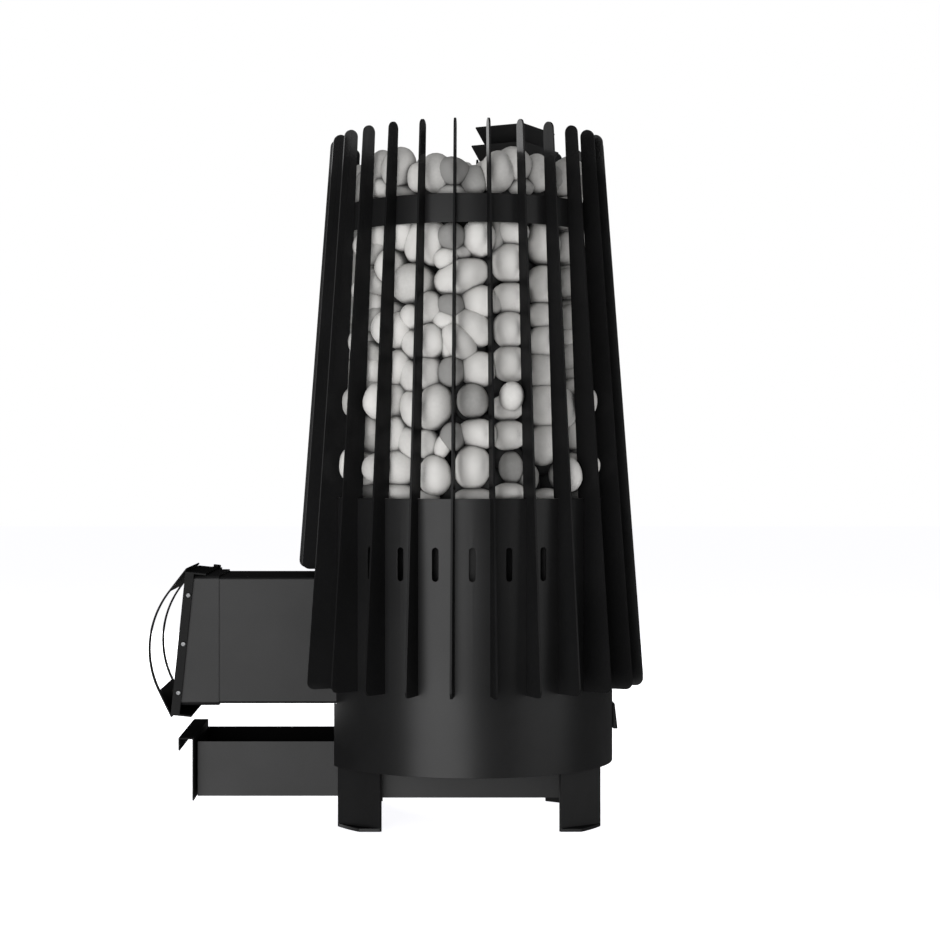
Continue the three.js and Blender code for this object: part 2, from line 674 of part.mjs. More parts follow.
// Lowest height, in the door's frame, at which the collar's side is there to carry the lower lug
const collarBottomZ = TUNNEL_BOTTOM_Z - GAP - COLLAR_WALL;
const lugRise = (collarBottomZ - doorBottomZ) / Math.cos(DOOR_LEAN) + HINGE_X * Math.tan(DOOR_LEAN);
const lowerLugZ = lugRise + HINGE_LUG_THICKNESS;

// Collar: a box round the tunnel's mouth, cut to the door's lean, with the two lugs of the hinge
function addCollar() {
  const tube = squareTube(
    2 * collarHalf,
    tunnelHeight + 2 * (GAP + COLLAR_WALL),
    COLLAR_WALL,
    TUNNEL_BEND + COLLAR_WALL,
    doorFrontX - CUT_PAST,
    tunnelFrontX + COLLAR_LAP,
    collarBottomZ,
  );
  const inFront = box(
    [-DOOR_HEIGHT, -DOOR_WIDTH, -DOOR_HEIGHT],
    [collarFrontX, DOOR_WIDTH, 2 * DOOR_HEIGHT],
  );
  let collar = tube.subtract(leaned(inFront));
  const lugInnerY = collarHalf - COLLAR_WALL / 2;
  for (const lowZ of [lowerLugZ, upperLugZ]) {
    const highZ = lowZ + HINGE_LUG_THICKNESS;
    const lug = hingePlate(lugInnerY, lowZ, highZ).subtract(hingeHole(lowZ, highZ));
    collar = collar.add(leaned(lug));
  }
  addPiece("door_collar", collar, greySteel);
}

// Hinge pin: one long pin with a head over the door's upper ear
function addHingePin() {
  const lowZ = -HINGE_PIN_HEAD_HEIGHT;
  const shank = solid(hingeBar(HINGE_PIN_RADIUS, lowZ, DOOR_HEIGHT + GAP + HINGE_PIN_HEAD_HEIGHT / 2));
  const headZ = DOOR_HEIGHT + GAP;
  const head = solid(hingeBar(HINGE_PIN_HEAD_RADIUS, headZ, headZ + HINGE_PIN_HEAD_HEIGHT));
  addPiece("hinge_pin", shank.add(head), zinc, doorFrame);
}

// Door leaf: a folded tray with deep top and bottom flanges, screw strips at its sides and a window
function addDoorLeaf() {
  const windowHalfWidth = glassWidth / 2 - GLASS_LAP;
  const windowHalfHeight = glassHeight / 2 - GLASS_LAP;
  let leaf = box([0, -doorHalf, 0], [DOOR_FLANGE, doorHalf, DOOR_HEIGHT]);
  const inside = box(
    [DOOR_SHEET, -doorHalf + DOOR_SHEET, DOOR_SHEET],
    [DOOR_FLANGE + CUT_PAST, doorHalf - DOOR_SHEET, sheetTopZ],
  );
  const sideRelief = box(
    [DOOR_STRIP, -doorHalf - CUT_PAST, DOOR_SHEET],
    [DOOR_FLANGE + CUT_PAST, doorHalf + CUT_PAST, sheetTopZ],
  );
  const window = box(
    [-CUT_PAST, -windowHalfWidth, doorMiddleZ - windowHalfHeight],
    [DOOR_SHEET + CUT_PAST, windowHalfWidth, doorMiddleZ + windowHalfHeight],
  );
  leaf = leaf.subtract(inside).subtract(sideRelief).subtract(window);
  for (const lowZ of [0, sheetTopZ]) {
    const ear = hingePlate(doorHalf - DOOR_SHEET, lowZ, lowZ + DOOR_SHEET);
    leaf = leaf.add(ear).subtract(hingeHole(lowZ + CUT_PAST, lowZ + DOOR_SHEET - CUT_PAST));
  }
  for (const screw of screwPlaces()) {
    const hole = screwBar(SCREW_SHANK_RADIUS + GAP, -DOOR_SHEET - CUT_PAST, CUT_PAST, screw);
    leaf = leaf.subtract(solid(hole));
  }
  addPiece("door_leaf", leaf, darkSteel, doorFrame);
}

function screwPlaces() {
  const places = [];
  for (const side of [-1, 1]) {
    for (let i = 0; i < SCREW_COUNT; i++) {
      places.push({ side, z: doorMiddleZ + (i - (SCREW_COUNT - 1) / 2) * SCREW_PITCH });
    }
  }
  return places;
}

// A round bar across the door's side strip, from and to distances outside the strip's face
function screwBar(radius, from, to, { side, z }) {
  return bar(radius, from, to)
    .rotateX((-side * Math.PI) / 2)
    .translate(SCREW_X, side * doorHalf, z);
}

function addDoorFittings() {
  const pane = (grow, frontX, backX) => {
    const halfWidth = glassWidth / 2 + grow;
    const halfHeight = glassHeight / 2 + grow;
    return boxGeometry(
      [frontX, -halfWidth, doorMiddleZ - halfHeight],
      [backX, halfWidth, doorMiddleZ + halfHeight],
    );
  };
  const glass = pane(0, glassFrontX, glassFrontX + GLASS_THICKNESS);
  addPiece("door_glass", glass, heatGlass, doorFrame);
  const retainerBackX = retainerFrontX + RETAINER_THICKNESS;
  const retainer = solid(pane(RETAINER_LAP, retainerFrontX, retainerBackX));
  const retainerHole = solid(pane(-GLASS_LAP, retainerFrontX - CUT_PAST, retainerBackX + CUT_PAST));
  addPiece("glass_retainer", retainer.subtract(retainerHole), darkSteel, doorFrame);

  const sealHigh = [sealFrontX + SEAL_THICKNESS, collarHalf, DOOR_HEIGHT - DOOR_SHEET - GAP];
  const sealLow = [sealFrontX, -collarHalf, lowerLugZ - SEAL_WIDTH];
  const sealHole = box(
    [sealFrontX - CUT_PAST, -collarHalf + SEAL_WIDTH, sealLow[2] + SEAL_WIDTH],
    [sealHigh[0] + CUT_PAST, collarHalf - SEAL_WIDTH, sealHigh[2] - SEAL_WIDTH],
  );
  addPiece("door_seal", box(sealLow, sealHigh).subtract(sealHole), sealRope, doorFrame);

  screwPlaces().forEach((screw, i) => {
    const headMiddle = GAP + SCREW_HEAD_HEIGHT / 2;
    const shank = solid(screwBar(SCREW_SHANK_RADIUS, -SCREW_SHANK_LENGTH, headMiddle, screw));
    const head = solid(screwBar(SCREW_HEAD_RADIUS, GAP, GAP + SCREW_HEAD_HEIGHT, screw));
    addPiece(`door_screw_${i + 1}`, shank.add(head), zinc, doorFrame);
  });
}

// Guard: a bowed sheet with straight ends on the door's top and bottom edges, open in its middle
function addGuard() {
  const guardWidth = DOOR_WIDTH - 2 * GUARD_SIDE_INSET;
  const straightRise = (GUARD_SHEET + GUARD_BOW) / Math.tan(GUARD_HALF_ARC);
  const bentRise = DOOR_HEIGHT / 2 + GUARD_END_RISE - straightRise;
  const guardRadius = bentRise / Math.tan(GUARD_HALF_ARC / 2);
  const middleX = guardRadius - GUARD_BOW;
  const sheetEdge = (radius) => {
    const tangentX = middleX - radius * Math.cos(GUARD_HALF_ARC);
    const tangentRise = radius * Math.sin(GUARD_HALF_ARC);
    const endRise = tangentRise + (GUARD_SHEET - tangentX) / Math.tan(GUARD_HALF_ARC);
    return { radius, endRise };
  };
  const outside = sheetEdge(guardRadius);
  const inside = sheetEdge(guardRadius - GUARD_SHEET);
  const shape = new THREE.Shape();
  shape.moveTo(GUARD_SHEET, outside.endRise);
  shape.absarc(middleX, 0, outside.radius, Math.PI - GUARD_HALF_ARC, Math.PI + GUARD_HALF_ARC);
  shape.lineTo(GUARD_SHEET, -outside.endRise);
  shape.lineTo(GUARD_SHEET, -inside.endRise);
  shape.absarc(middleX, 0, inside.radius, Math.PI + GUARD_HALF_ARC, Math.PI - GUARD_HALF_ARC, true);
  shape.lineTo(GUARD_SHEET, inside.endRise);
  const sheet = solid(upright(shape, guardWidth).translate(0, 0, doorMiddleZ));
  const windowHalfWidth = guardWidth / 2 - GUARD_RAIL;
  const windowHalfHeight = guardRadius * Math.sin(GUARD_HALF_ARC);
  const window = box(
    [-2 * GUARD_BOW, -windowHalfWidth, doorMiddleZ - windowHalfHeight],
    [GUARD_BOW, windowHalfWidth, doorMiddleZ + windowHalfHeight],
  );
  const doorRoom = box([-GAP, -guardWidth, -DOOR_HEIGHT], [DOOR_FLANGE, guardWidth, 2 * DOOR_HEIGHT]);
  addPiece("door_guard", sheet.subtract(window).subtract(doorRoom), darkSteel, doorFrame);
}

// Ash drawer and the channel under the firebox that it slides in
const channelFloorZ = CHANNEL_BOTTOM_Z + CHANNEL_WALL;
const drawerBottomZ = channelFloorZ + GAP;
const drawerHalf = DRAWER_WIDTH / 2;
const drawerFrontX = tunnelFrontX - DRAWER_STANDOFF;
const drawerBackX = fireboxRadius - DRAWER_BACK_ROOM;
const channelFrontX = CHANNEL_FRONT_ROOM - fireboxRadius;

function addDrawer() {
  const frontPlateBackX = drawerFrontX + DRAWER_FRONT_SHEET;
  const bodyFrontX = frontPlateBackX + GAP;
  const body = box(
    [bodyFrontX, -drawerHalf, drawerBottomZ],
    [drawerBackX, drawerHalf, drawerBottomZ + DRAWER_HEIGHT],
  );
  const inside = box(
    [bodyFrontX + DRAWER_WALL, -drawerHalf + DRAWER_WALL, drawerBottomZ + DRAWER_WALL],
    [drawerBackX - DRAWER_WALL, drawerHalf - DRAWER_WALL, drawerBottomZ + DRAWER_HEIGHT + CUT_PAST],
  );
  addPiece("ash_drawer", body.subtract(inside), greySteel);

  const frontHalf = DRAWER_FRONT_WIDTH / 2;
  const frontTopZ = DRAWER_FRONT_BOTTOM_Z + DRAWER_FRONT_HEIGHT;
  const pullX = drawerFrontX - PULL_REACH;
  const plate = box(
    [drawerFrontX, -frontHalf, DRAWER_FRONT_BOTTOM_Z],
    [frontPlateBackX, frontHalf, frontTopZ],
  );
  const shelf = box(
    [pullX, -frontHalf, frontTopZ - DRAWER_FRONT_SHEET],
    [frontPlateBackX, frontHalf, frontTopZ],
  );
  const lip = box(
    [pullX, -frontHalf, frontTopZ - PULL_LIP],
    [pullX + DRAWER_FRONT_SHEET, frontHalf, frontTopZ],
  );
  addPiece("drawer_front", plate.add(shelf).add(lip), darkSteel);
}

function addChannel() {
  const insideHalf = drawerHalf + CHANNEL_SIDE_PLAY;
  const outsideHalf = insideHalf + CHANNEL_WALL;
  const insideBackX = drawerBackX + CHANNEL_BACK_PLAY;
  const topZ = FLOOR_Z - GAP;
  const channel = box(
    [channelFrontX, -outsideHalf, CHANNEL_BOTTOM_Z],
    [insideBackX + CHANNEL_WALL, outsideHalf, topZ],
  );
  const inside = box(
    [channelFrontX - CUT_PAST, -insideHalf, channelFloorZ],
    [insideBackX, insideHalf, topZ + CUT_PAST],
  );
  addPiece("ash_channel", channel.subtract(inside), greySteel);
}

// Legs: flat plates welded to the firebox, each with a foot turned outwards at the floor
function addLegs() {
  const innerFace = Math.sqrt((fireboxRadius + GAP) ** 2 - LEG_START ** 2);
  const turn = LEG_AZIMUTH;
  const along = (offset, face) =>
    new THREE.Vector2(
      Math.cos(turn) * face + Math.sin(turn) * offset,
      Math.sin(turn) * face - Math.cos(turn) * offset,
    );
  const innerCorner = along(LEG_START, innerFace);
  const innerOutside = along(LEG_START, innerFace + LEG_THICKNESS);
  const outerOutside = along(LEG_START + LEG_WIDTH, innerFace + LEG_THICKNESS);
  const outerCorner = along(LEG_START + LEG_WIDTH, innerFace);
  const plate = new THREE.Shape([innerCorner, outerCorner, outerOutside, innerOutside]);

  const footRadius = CASING_RADIUS - FOOT_SETBACK;
  const footStart = Math.asin(innerOutside.y / footRadius);
  const footEnd = Math.atan2(outerOutside.y, outerOutside.x);
  const foot = new THREE.Shape();
  foot.moveTo(innerCorner.x, innerCorner.y);
  foot.lineTo(outerCorner.x, outerCorner.y);
  foot.lineTo(outerOutside.x, outerOutside.y);
  foot.absarc(0, 0, footRadius, footEnd, footStart);
  foot.lineTo(innerOutside.x, innerOutside.y);
  const legPlate = solid(raised(plate, 0, TUNNEL_BOTTOM_Z - LEG_UNDER_TUNNEL));
  const leg = legPlate.add(solid(raised(foot, 0, FOOT_THICKNESS)));
  const geometry = geometryOf(leg);

  const sides = { front: -1, rear: 1 };
  const hands = { near: -1, far: 1 };
  for (const [side, x] of Object.entries(sides)) {
    for (const [hand, y] of Object.entries(hands)) {
      addPiece(`leg_${side}_${hand}`, geometry, darkSteel).scale.set(x, y, 1);
    }
  }
}

// Small bracket on the casing's rear with one hole
function addBracket() {
  const backX = CASING_RADIUS + GAP;
  const middleZ = BRACKET_BOTTOM_Z + BRACKET_HEIGHT / 2;
  const plate = box(
    [backX, -BRACKET_WIDTH / 2, BRACKET_BOTTOM_Z],
    [backX + BRACKET_DEPTH, BRACKET_WIDTH / 2, BRACKET_BOTTOM_Z + BRACKET_HEIGHT],
  );
  const hole = bar(BRACKET_HOLE_RADIUS, -CUT_PAST, BRACKET_DEPTH + CUT_PAST)
    .rotateY(Math.PI / 2)
    .translate(backX, 0, middleZ);
  addPiece("rear_bracket", plate.subtract(solid(hole)), darkSteel);
}

addCasing();
addFins();
addBand();
addFirebox();
addGrate();
addFlue();
addHopper();
addStones();
addTunnel();
addCollar();
addHingePin();
addDoorLeaf();
addDoorFittings();
addGuard();
addDrawer();
addChannel();
addLegs();
addBracket();

// Stand the whole stove with the middle of its box over the origin
stove.updateMatrixWorld(true);
const wholeBox = new THREE.Box3().setFromObject(stove, true);
const wholeMiddle = wholeBox.getCenter(new THREE.Vector3());
stove.position.set(-wholeMiddle.x, -wholeMiddle.y, -wholeBox.min.z);
const part = new THREE.Group();
part.add(stove);

export default part;
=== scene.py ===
import math

import bpy
from mathutils import Matrix, Vector


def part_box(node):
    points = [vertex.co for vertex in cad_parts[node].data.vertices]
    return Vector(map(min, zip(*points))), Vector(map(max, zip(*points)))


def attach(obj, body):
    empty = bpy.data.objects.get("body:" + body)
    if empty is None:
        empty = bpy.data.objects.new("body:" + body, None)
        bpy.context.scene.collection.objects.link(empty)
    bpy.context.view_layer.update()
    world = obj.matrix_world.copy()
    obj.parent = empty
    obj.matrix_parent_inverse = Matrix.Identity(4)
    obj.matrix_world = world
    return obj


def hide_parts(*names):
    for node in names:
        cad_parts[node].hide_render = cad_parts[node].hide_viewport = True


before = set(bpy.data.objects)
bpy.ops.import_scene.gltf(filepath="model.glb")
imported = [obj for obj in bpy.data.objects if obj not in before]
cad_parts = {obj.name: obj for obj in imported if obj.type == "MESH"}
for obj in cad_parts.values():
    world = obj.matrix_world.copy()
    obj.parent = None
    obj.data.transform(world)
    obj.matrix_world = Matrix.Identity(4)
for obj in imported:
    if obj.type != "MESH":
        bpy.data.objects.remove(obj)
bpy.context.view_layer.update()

# Legs: four plates cut from 4 mm steel and painted black, each welded to the firebox under the casing.
# A foot is turned outwards at the floor, its edge cut round to follow the casing above it.
# Sheet edges are slightly rounded by the cutting and the paint, so each piece gets a small soft edge.
MM = 0.001
CUT_EDGE = 0.5 * MM
LEG_EDGE = 1.8 * MM
WELDED = 0.02 * MM
FLAT_ANGLE = math.radians(0.5)


def make_active(piece):
    """Deselect everything else and work on this piece."""
    bpy.ops.object.select_all(action="DESELECT")
    piece.select_set(True)
    bpy.context.view_layer.objects.active = piece


def apply_modifier(piece, kind, **settings):
    """Add a modifier with these settings and apply it."""
    make_active(piece)
    modifier = piece.modifiers.new(kind.lower(), kind)
    for key, value in settings.items():
        setattr(modifier, key, value)
    bpy.ops.object.modifier_apply(modifier=modifier.name)


def round_edges(piece, width, segments=2, angle=35):
    """Round the edges that are sharper than the angle, and smooth the faces between them."""
    apply_modifier(
        piece,
        "BEVEL",
        width=width,
        segments=segments,
        limit_method="ANGLE",
        angle_limit=math.radians(angle),
    )
    bpy.ops.object.shade_smooth_by_angle(angle=math.radians(angle))
    apply_modifier(piece, "WEIGHTED_NORMAL", keep_sharp=True)


def rounded_copy(node, width=CUT_EDGE):
    """A copy of a solid with its triangles joined into flat faces and its edges rounded."""
    piece = bpy.data.objects.new(node + "_sheet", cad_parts[node].data.copy())
    piece.data.materials.clear()
    bpy.context.scene.collection.objects.link(piece)
    make_active(piece)
    bpy.ops.mesh.customdata_custom_splitnormals_clear()
    bpy.ops.object.mode_set(mode="EDIT")
    bpy.ops.mesh.select_all(action="SELECT")
    bpy.ops.mesh.remove_doubles(threshold=WELDED)
    bpy.ops.mesh.dissolve_limited(angle_limit=FLAT_ANGLE)
    bpy.ops.object.mode_set(mode="OBJECT")
    round_edges(piece, width)
    return piece


class Surface:
    """A socket of a material's nodes, so that sums on surface values are written as expressions."""

    def __init__(self, tree, socket=None):
        self.tree = tree
        self.socket = socket

    def node(self, kind, settings, sockets, output=0):
        """Add a node: its settings first, then the values or links of its sockets."""
        made = self.tree.nodes.new(kind)
        for key, value in settings.items():
            setattr(made, key, value)
        for key, value in sockets.items():
            if isinstance(value, Surface):
                self.tree.links.new(value.socket, made.inputs[key])
            else:
                made.inputs[key].default_value = value
        return Surface(self.tree, made.outputs[output])

    def math(self, operation, *values):
        return self.node("ShaderNodeMath", {"operation": operation}, dict(enumerate(values)))

    def __add__(self, other):
        return self.math("ADD", self, other)

    def __radd__(self, other):
        return self.math("ADD", other, self)

    def __sub__(self, other):
        return self.math("SUBTRACT", self, other)

    def __rsub__(self, other):
        return self.math("SUBTRACT", other, self)

    def __mul__(self, other):
        return self.math("MULTIPLY", self, other)

    def __rmul__(self, other):
        return self.math("MULTIPLY", other, self)

    def between(self, low, high):
        """0 below low, 1 above high, and a smooth step between them."""
        return self.node(
            "ShaderNodeMapRange",
            {"interpolation_type": "SMOOTHSTEP"},
            {"Value": self, "From Min": low, "From Max": high},
        )

    def mixed(self, first, second):
        """The first colour where this value is 0, the second where it is 1."""
        return self.node("ShaderNodeMix", {"data_type": "RGBA"}, {0: self, 6: first, 7: second}, 2)

    def noise(self, scale, detail=3.0):
        """Noise at this place, with about this many lumps to a metre."""
        return self.node(
            "ShaderNodeTexNoise", {}, {"Vector": self, "Scale": scale, "Detail": detail}, "Fac"
        )

    def place(self):
        """Where on the object a point of the surface lies."""
        return self.node("ShaderNodeTexCoord", {}, {}, "Object")

    def upright(self):
        """The Z part of this vector."""
        return self.node("ShaderNodeSeparateXYZ", {}, {"Vector": self}, "Z")

    def vector_math(self, operation, vector=(0, 0, 0), output="Vector"):
        return self.node("ShaderNodeVectorMath", {"operation": operation}, {0: self, 1: vector}, output)

    def bump(self, strength, distance):
        """The normal of a surface that this value raises."""
        return self.node("ShaderNodeBump", {}, {"Strength": strength, "Distance": distance, "Height": self})

    def ray(self, kind):
        """1 where the surface is met by a ray of this kind, else 0."""
        return self.node("ShaderNodeLightPath", {}, {}, kind)


def new_finish(name, **constants):
    """A material with its shader's constant sockets set, and a surface to start its sums from."""
    finish = bpy.data.materials.new(name)
    finish.use_nodes = True
    shader = finish.node_tree.nodes["Principled BSDF"]
    for key, value in constants.items():
        shader.inputs[key.replace("_", " ")].default_value = value
    return finish, Surface(finish.node_tree)


def connect(finish, sockets):
    """Link surface values to the shader's sockets."""
    shader = finish.node_tree.nodes["Principled BSDF"]
    for key, value in sockets.items():
        finish.node_tree.links.new(value.socket, shader.inputs[key])


def grey(value):
    """A grey with a touch of blue, as this black paint has."""
    return (value, value, value * 1.03, 1.0)


PAINT_CLOUDS = 9.0
PAINT_GRAIN = 700.0
PAINT_PEEL = 160.0
SHADE_CHANGE = 0.18
SHEEN_CHANGE = 0.28
TOP_SHADE_DULLS = 0.99
SHADED_SHEEN = 0.17
SHADE_EDGE = (-20 * MM, 10 * MM)


def heat_paint(name, shade, gloss, blur=0.35, shaded_below=None):
    """Heat-proof black paint: matt under a thin sheen, taken off faces that look up as a painted shade.

    Below a given height most of the sheen is taken off too, as a painted shade where the stones darken it.
    """
    finish, paint = new_finish(name, Specular_IOR_Level=0.0, Coat_Roughness=blur, Coat_IOR=1.5)
    place = paint.place()
    upward = paint.node("ShaderNodeNewGeometry", {}, {}, "Normal").upright().between(0.3, 0.9)
    cloud = place.noise(PAINT_CLOUDS, 5.0)
    grain = place.noise(PAINT_GRAIN, 2.0)
    peel = place.noise(PAINT_PEEL, 2.0)
    mottle = (0.65 * cloud + 0.35 * grain).between(0.32, 0.68)
    # Faces that look up lose nearly all their sheen, a painted shade that keeps the tops dark.
    sheen = gloss * (1 - TOP_SHADE_DULLS * upward) * (1 - SHEEN_CHANGE / 2 + SHEEN_CHANGE * cloud)
    # Below that height the sheen is cut down, a painted shade.
    if shaded_below:
        whole = place.upright().between(*(shaded_below + edge for edge in SHADE_EDGE))
        sheen = sheen * (SHADED_SHEEN + (1 - SHADED_SHEEN) * whole)
    connect(
        finish,
        {
            "Base Color": mottle.mixed(grey(shade * (1 - SHADE_CHANGE)), grey(shade * (1 + SHADE_CHANGE))),
            "Roughness": 0.74 + 0.12 * cloud,
            "Coat Weight": sheen,
            "Normal": (0.6 * grain + peel).bump(0.22, 0.5 * MM),
        },
    )
    return finish


def dress(piece, finish, slot, body, *nodes):
    """Give a piece its finish, let it ride on its body and stand for its solids."""
    piece.data.materials.clear()
    piece.data.materials.append(finish)
    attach(piece, body)
    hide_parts(*nodes)


black_paint = heat_paint("black_paint", shade=0.0105, gloss=0.48)
for leg in ("leg_front_near", "leg_front_far", "leg_rear_near", "leg_rear_far"):
    dress(rounded_copy(leg, LEG_EDGE), black_paint, "black_paint", "stove", leg)

# Ash channel: a thin steel trough folded up at its sides and back, open in front, welded under the firebox.
# The ash drawer runs in it.
CHANNEL_WALL = 1.5 * MM
ALONG = 0.9


def block(name, low, high):
    """A box between two corners, with its place in its mesh."""
    low, high = Vector(low), Vector(high)
    bpy.ops.object.select_all(action="DESELECT")
    bpy.ops.mesh.primitive_cube_add(size=1, location=(low + high) / 2)
    piece = bpy.context.object
    piece.name = name
    piece.scale = high - low
    bpy.ops.object.transform_apply(location=True, rotation=True, scale=True)
    return piece


def pick(piece, kind, test):
    """In edit mode, select the faces, edges or points of the piece for which the test holds."""
    make_active(piece)
    bpy.ops.object.mode_set(mode="EDIT")
    bpy.ops.mesh.select_mode(type=kind)
    bpy.ops.mesh.select_all(action="DESELECT")
    bpy.ops.object.mode_set(mode="OBJECT")
    mesh = piece.data
    points = mesh.vertices
    if kind == "FACE":
        for face in mesh.polygons:
            face.select = test(face.center, face.normal)
    elif kind == "EDGE":
        for edge in mesh.edges:
            edge.select = test(*(points[i].co for i in edge.vertices))
    else:
        for point in points:
            point.select = test(point.co)
    bpy.ops.object.mode_set(mode="EDIT")


def leave_edit():
    bpy.ops.object.mode_set(mode="OBJECT")


def pick_all(piece):
    pick(piece, "FACE", lambda middle, normal: True)


def drop_faces(piece, test):
    pick(piece, "FACE", test)
    bpy.ops.mesh.delete(type="FACE")
    leave_edit()


def thicken(piece, wall):
    """Give an open shell its wall, inwards from the shell's face."""
    apply_modifier(piece, "SOLIDIFY", thickness=wall, offset=-1, use_even_offset=True)


channel = block("ash_trough", *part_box("ash_channel"))
drop_faces(channel, lambda middle, normal: normal.z > ALONG or normal.x < -ALONG)
thicken(channel, CHANNEL_WALL)
round_edges(channel, CUT_EDGE)
# The channel's paint is the tunnel's given more sheen, painted light where less light reaches it low down.
ash_paint = heat_paint("ash_paint", shade=0.009, gloss=0.55)
dress(channel, ash_paint, "grey_paint", "stove", "ash_channel")

# Firebox: a round wall of 4 mm steel on a floor plate, closed by a thick crown plate that carries the stones.
# It is welded up and painted black. The fire has burnt the paint of floor and crown matt.
burnt_paint = heat_paint("burnt_paint", shade=0.012, gloss=0.25)
for plate, paint in (
    ("firebox_shell", black_paint),
    ("firebox_floor", burnt_paint),
    ("firebox_crown", burnt_paint),
):
    dress(rounded_copy(plate), paint, "black_paint", "stove", plate)

# Grate: a cast-iron plate with nine slots that lies loose over the ash hole.
# Its skin is rough from the sand mould, with a little rust in patches.
CAST_EDGE = 1.2 * MM
BARE_IRON = (0.028, 0.027, 0.027, 1)
RUSTY_IRON = (0.06, 0.032, 0.02, 1)
cast_iron, iron = new_finish("cast_iron", Specular_IOR_Level=0.3)
place = iron.place()
sand = place.noise(420.0, 4.0)
rust = place.noise(30.0, 6.0).between(0.5, 0.68)
connect(
    cast_iron,
    {
        "Base Color": rust.mixed(BARE_IRON, RUSTY_IRON),
        "Roughness": 0.7 + 0.2 * sand,
        "Normal": sand.bump(0.6, 0.8 * MM),
    },
)
dress(rounded_copy("grate", CAST_EDGE), cast_iron, "cast_grate", "stove", "grate")

# Casing: a 2 mm sheet rolled round the firebox, painted black, with a row of upright slots between the fins.
# It is cut open in front for the fuel tunnel and the ash drawer.
CASING_SIDES = 156
CASING_WALL = 2 * MM
FIN_COUNT = 26
SLOT_SIZE = (8 * MM, 41 * MM)
SLOT_BOTTOM = 313.7 * MM
CUT_PAST = 12 * MM
MOUTH_PLAY = 0.8 * MM
SEAT = 0.3 * MM
THIN_EDGE = 0.4 * MM
SLOT_END_ROUND = 0.49


def pipe(name, radius, low_z, high_z, sides, middle=(0, 0)):
    """An open round shell."""
    bpy.ops.object.select_all(action="DESELECT")
    bpy.ops.mesh.primitive_cylinder_add(
        vertices=sides,
        radius=radius,
        depth=high_z - low_z,
        end_fill_type="NOTHING",
        location=(middle[0], middle[1], (low_z + high_z) / 2),
    )
    piece = bpy.context.object
    piece.name = name
    bpy.ops.object.transform_apply(location=True, rotation=True, scale=True)
    return piece


def turn(piece, angle, middle):
    """Turn a piece's mesh round an upright line."""
    middle = Vector((middle[0], middle[1], 0))
    spin = Matrix.Rotation(angle, 4, "Z")
    piece.data.transform(Matrix.Translation(middle) @ spin @ Matrix.Translation(-middle))


def copy_of(piece, name):
    """A copy with its own mesh."""
    copied = bpy.data.objects.new(name, piece.data.copy())
    bpy.context.scene.collection.objects.link(copied)
    return copied


def join(pieces):
    """Join pieces into the first of them."""
    make_active(pieces[0])
    for piece in pieces:
        piece.select_set(True)
    bpy.ops.object.join()
    return pieces[0]


def cut(piece, *tools):
    """Cut the tools' shapes out of a piece, then delete the tools."""
    for tool in tools:
        apply_modifier(piece, "BOOLEAN", operation="DIFFERENCE", object=tool, solver="EXACT")
        bpy.data.objects.remove(tool)


low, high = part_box("casing")
axis = ((low.x + high.x) / 2, (low.y + high.y) / 2)
casing_radius = (high.y - low.y) / 2
casing = pipe("casing_shell", casing_radius, low.z, high.z, CASING_SIDES, axis)
thicken(casing, CASING_WALL)

tunnel_low, tunnel_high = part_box("fuel_tunnel")
slot_width, slot_height = SLOT_SIZE
slot_cut = block(
    "slot_cut",
    (axis[0] + casing_radius - CUT_PAST, -slot_width / 2, SLOT_BOTTOM),
    (axis[0] + casing_radius + CUT_PAST, slot_width / 2, SLOT_BOTTOM + slot_height),
)
pick(slot_cut, "EDGE", lambda a, b: abs(a.x - b.x) > CUT_PAST)
bpy.ops.mesh.bevel(offset=slot_width * SLOT_END_ROUND, segments=5)
leave_edit()
slot_cuts = []
for i in range(FIN_COUNT):
    angle = (i + 0.5) * 2 * math.pi / FIN_COUNT
    over_tunnel = math.cos(angle) < 0 and abs(math.sin(angle)) * casing_radius < tunnel_high.y
    if not over_tunnel:
        tool = copy_of(slot_cut, "slot_cut_copy")
        turn(tool, angle, axis)
        slot_cuts.append(tool)
bpy.data.objects.remove(slot_cut)

drawer_low, drawer_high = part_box("ash_drawer")
tunnel_cut = block(
    "tunnel_cut",
    (low.x - CUT_PAST, tunnel_low.y - SEAT, tunnel_low.z - SEAT),
    (axis[0] - casing_radius / 2, tunnel_high.y + SEAT, tunnel_high.z + SEAT),
)
mouth_cut = block(
    "mouth_cut",
    (low.x - CUT_PAST, drawer_low.y - MOUTH_PLAY, low.z - CUT_PAST),
    (axis[0] - casing_radius / 2, drawer_high.y + MOUTH_PLAY, tunnel_low.z),
)
cut(casing, join(slot_cuts), tunnel_cut, mouth_cut)
round_edges(casing, THIN_EDGE)
dress(casing, black_paint, "black_paint", "stove", "casing")

# Fins: 26 flat bars cut from sheet, standing on edge round the casing and welded to it by their inner edges.
# They taper to round tips that lean inwards, so they cage the stones. Three over the tunnel are shorter.
FIN_THICKNESS = 2.4 * MM
FIN_TIP_WIDTH = 18.2 * MM
FIN_TIP_OUTER = 177.4 * MM
FIN_TIP_ROUND = 0.495
FIN_CORNER = 10 * MM
FIN_CORNER_LOSS = 0.75 * MM
FIN_RIM_OVERLAP = 8 * MM
fin_low, fin_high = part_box("fin_01")
bed_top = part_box("stone_bed_near")[1].z
fin_root = casing_radius + SEAT
fin_rim_z = high.z + SEAT
fin_tip_z = fin_high.z - FIN_TIP_WIDTH / 2
fin_bottom_outer = fin_high.x - axis[0] + FIN_CORNER_LOSS


def fin_outer(z):
    """Distance of the fins' outer edge from the stove's axis."""
    part = (z - fin_low.z) / (fin_tip_z - fin_low.z)
    return fin_bottom_outer + (FIN_TIP_OUTER - fin_bottom_outer) * part


def cage_radius(z):
    """Distance of the fins' inner edge from the stove's axis, above the casing."""
    part = (z - fin_rim_z) / (fin_tip_z - fin_rim_z)
    rim = casing_radius - FIN_RIM_OVERLAP
    return rim + (FIN_TIP_OUTER - FIN_TIP_WIDTH - rim) * part


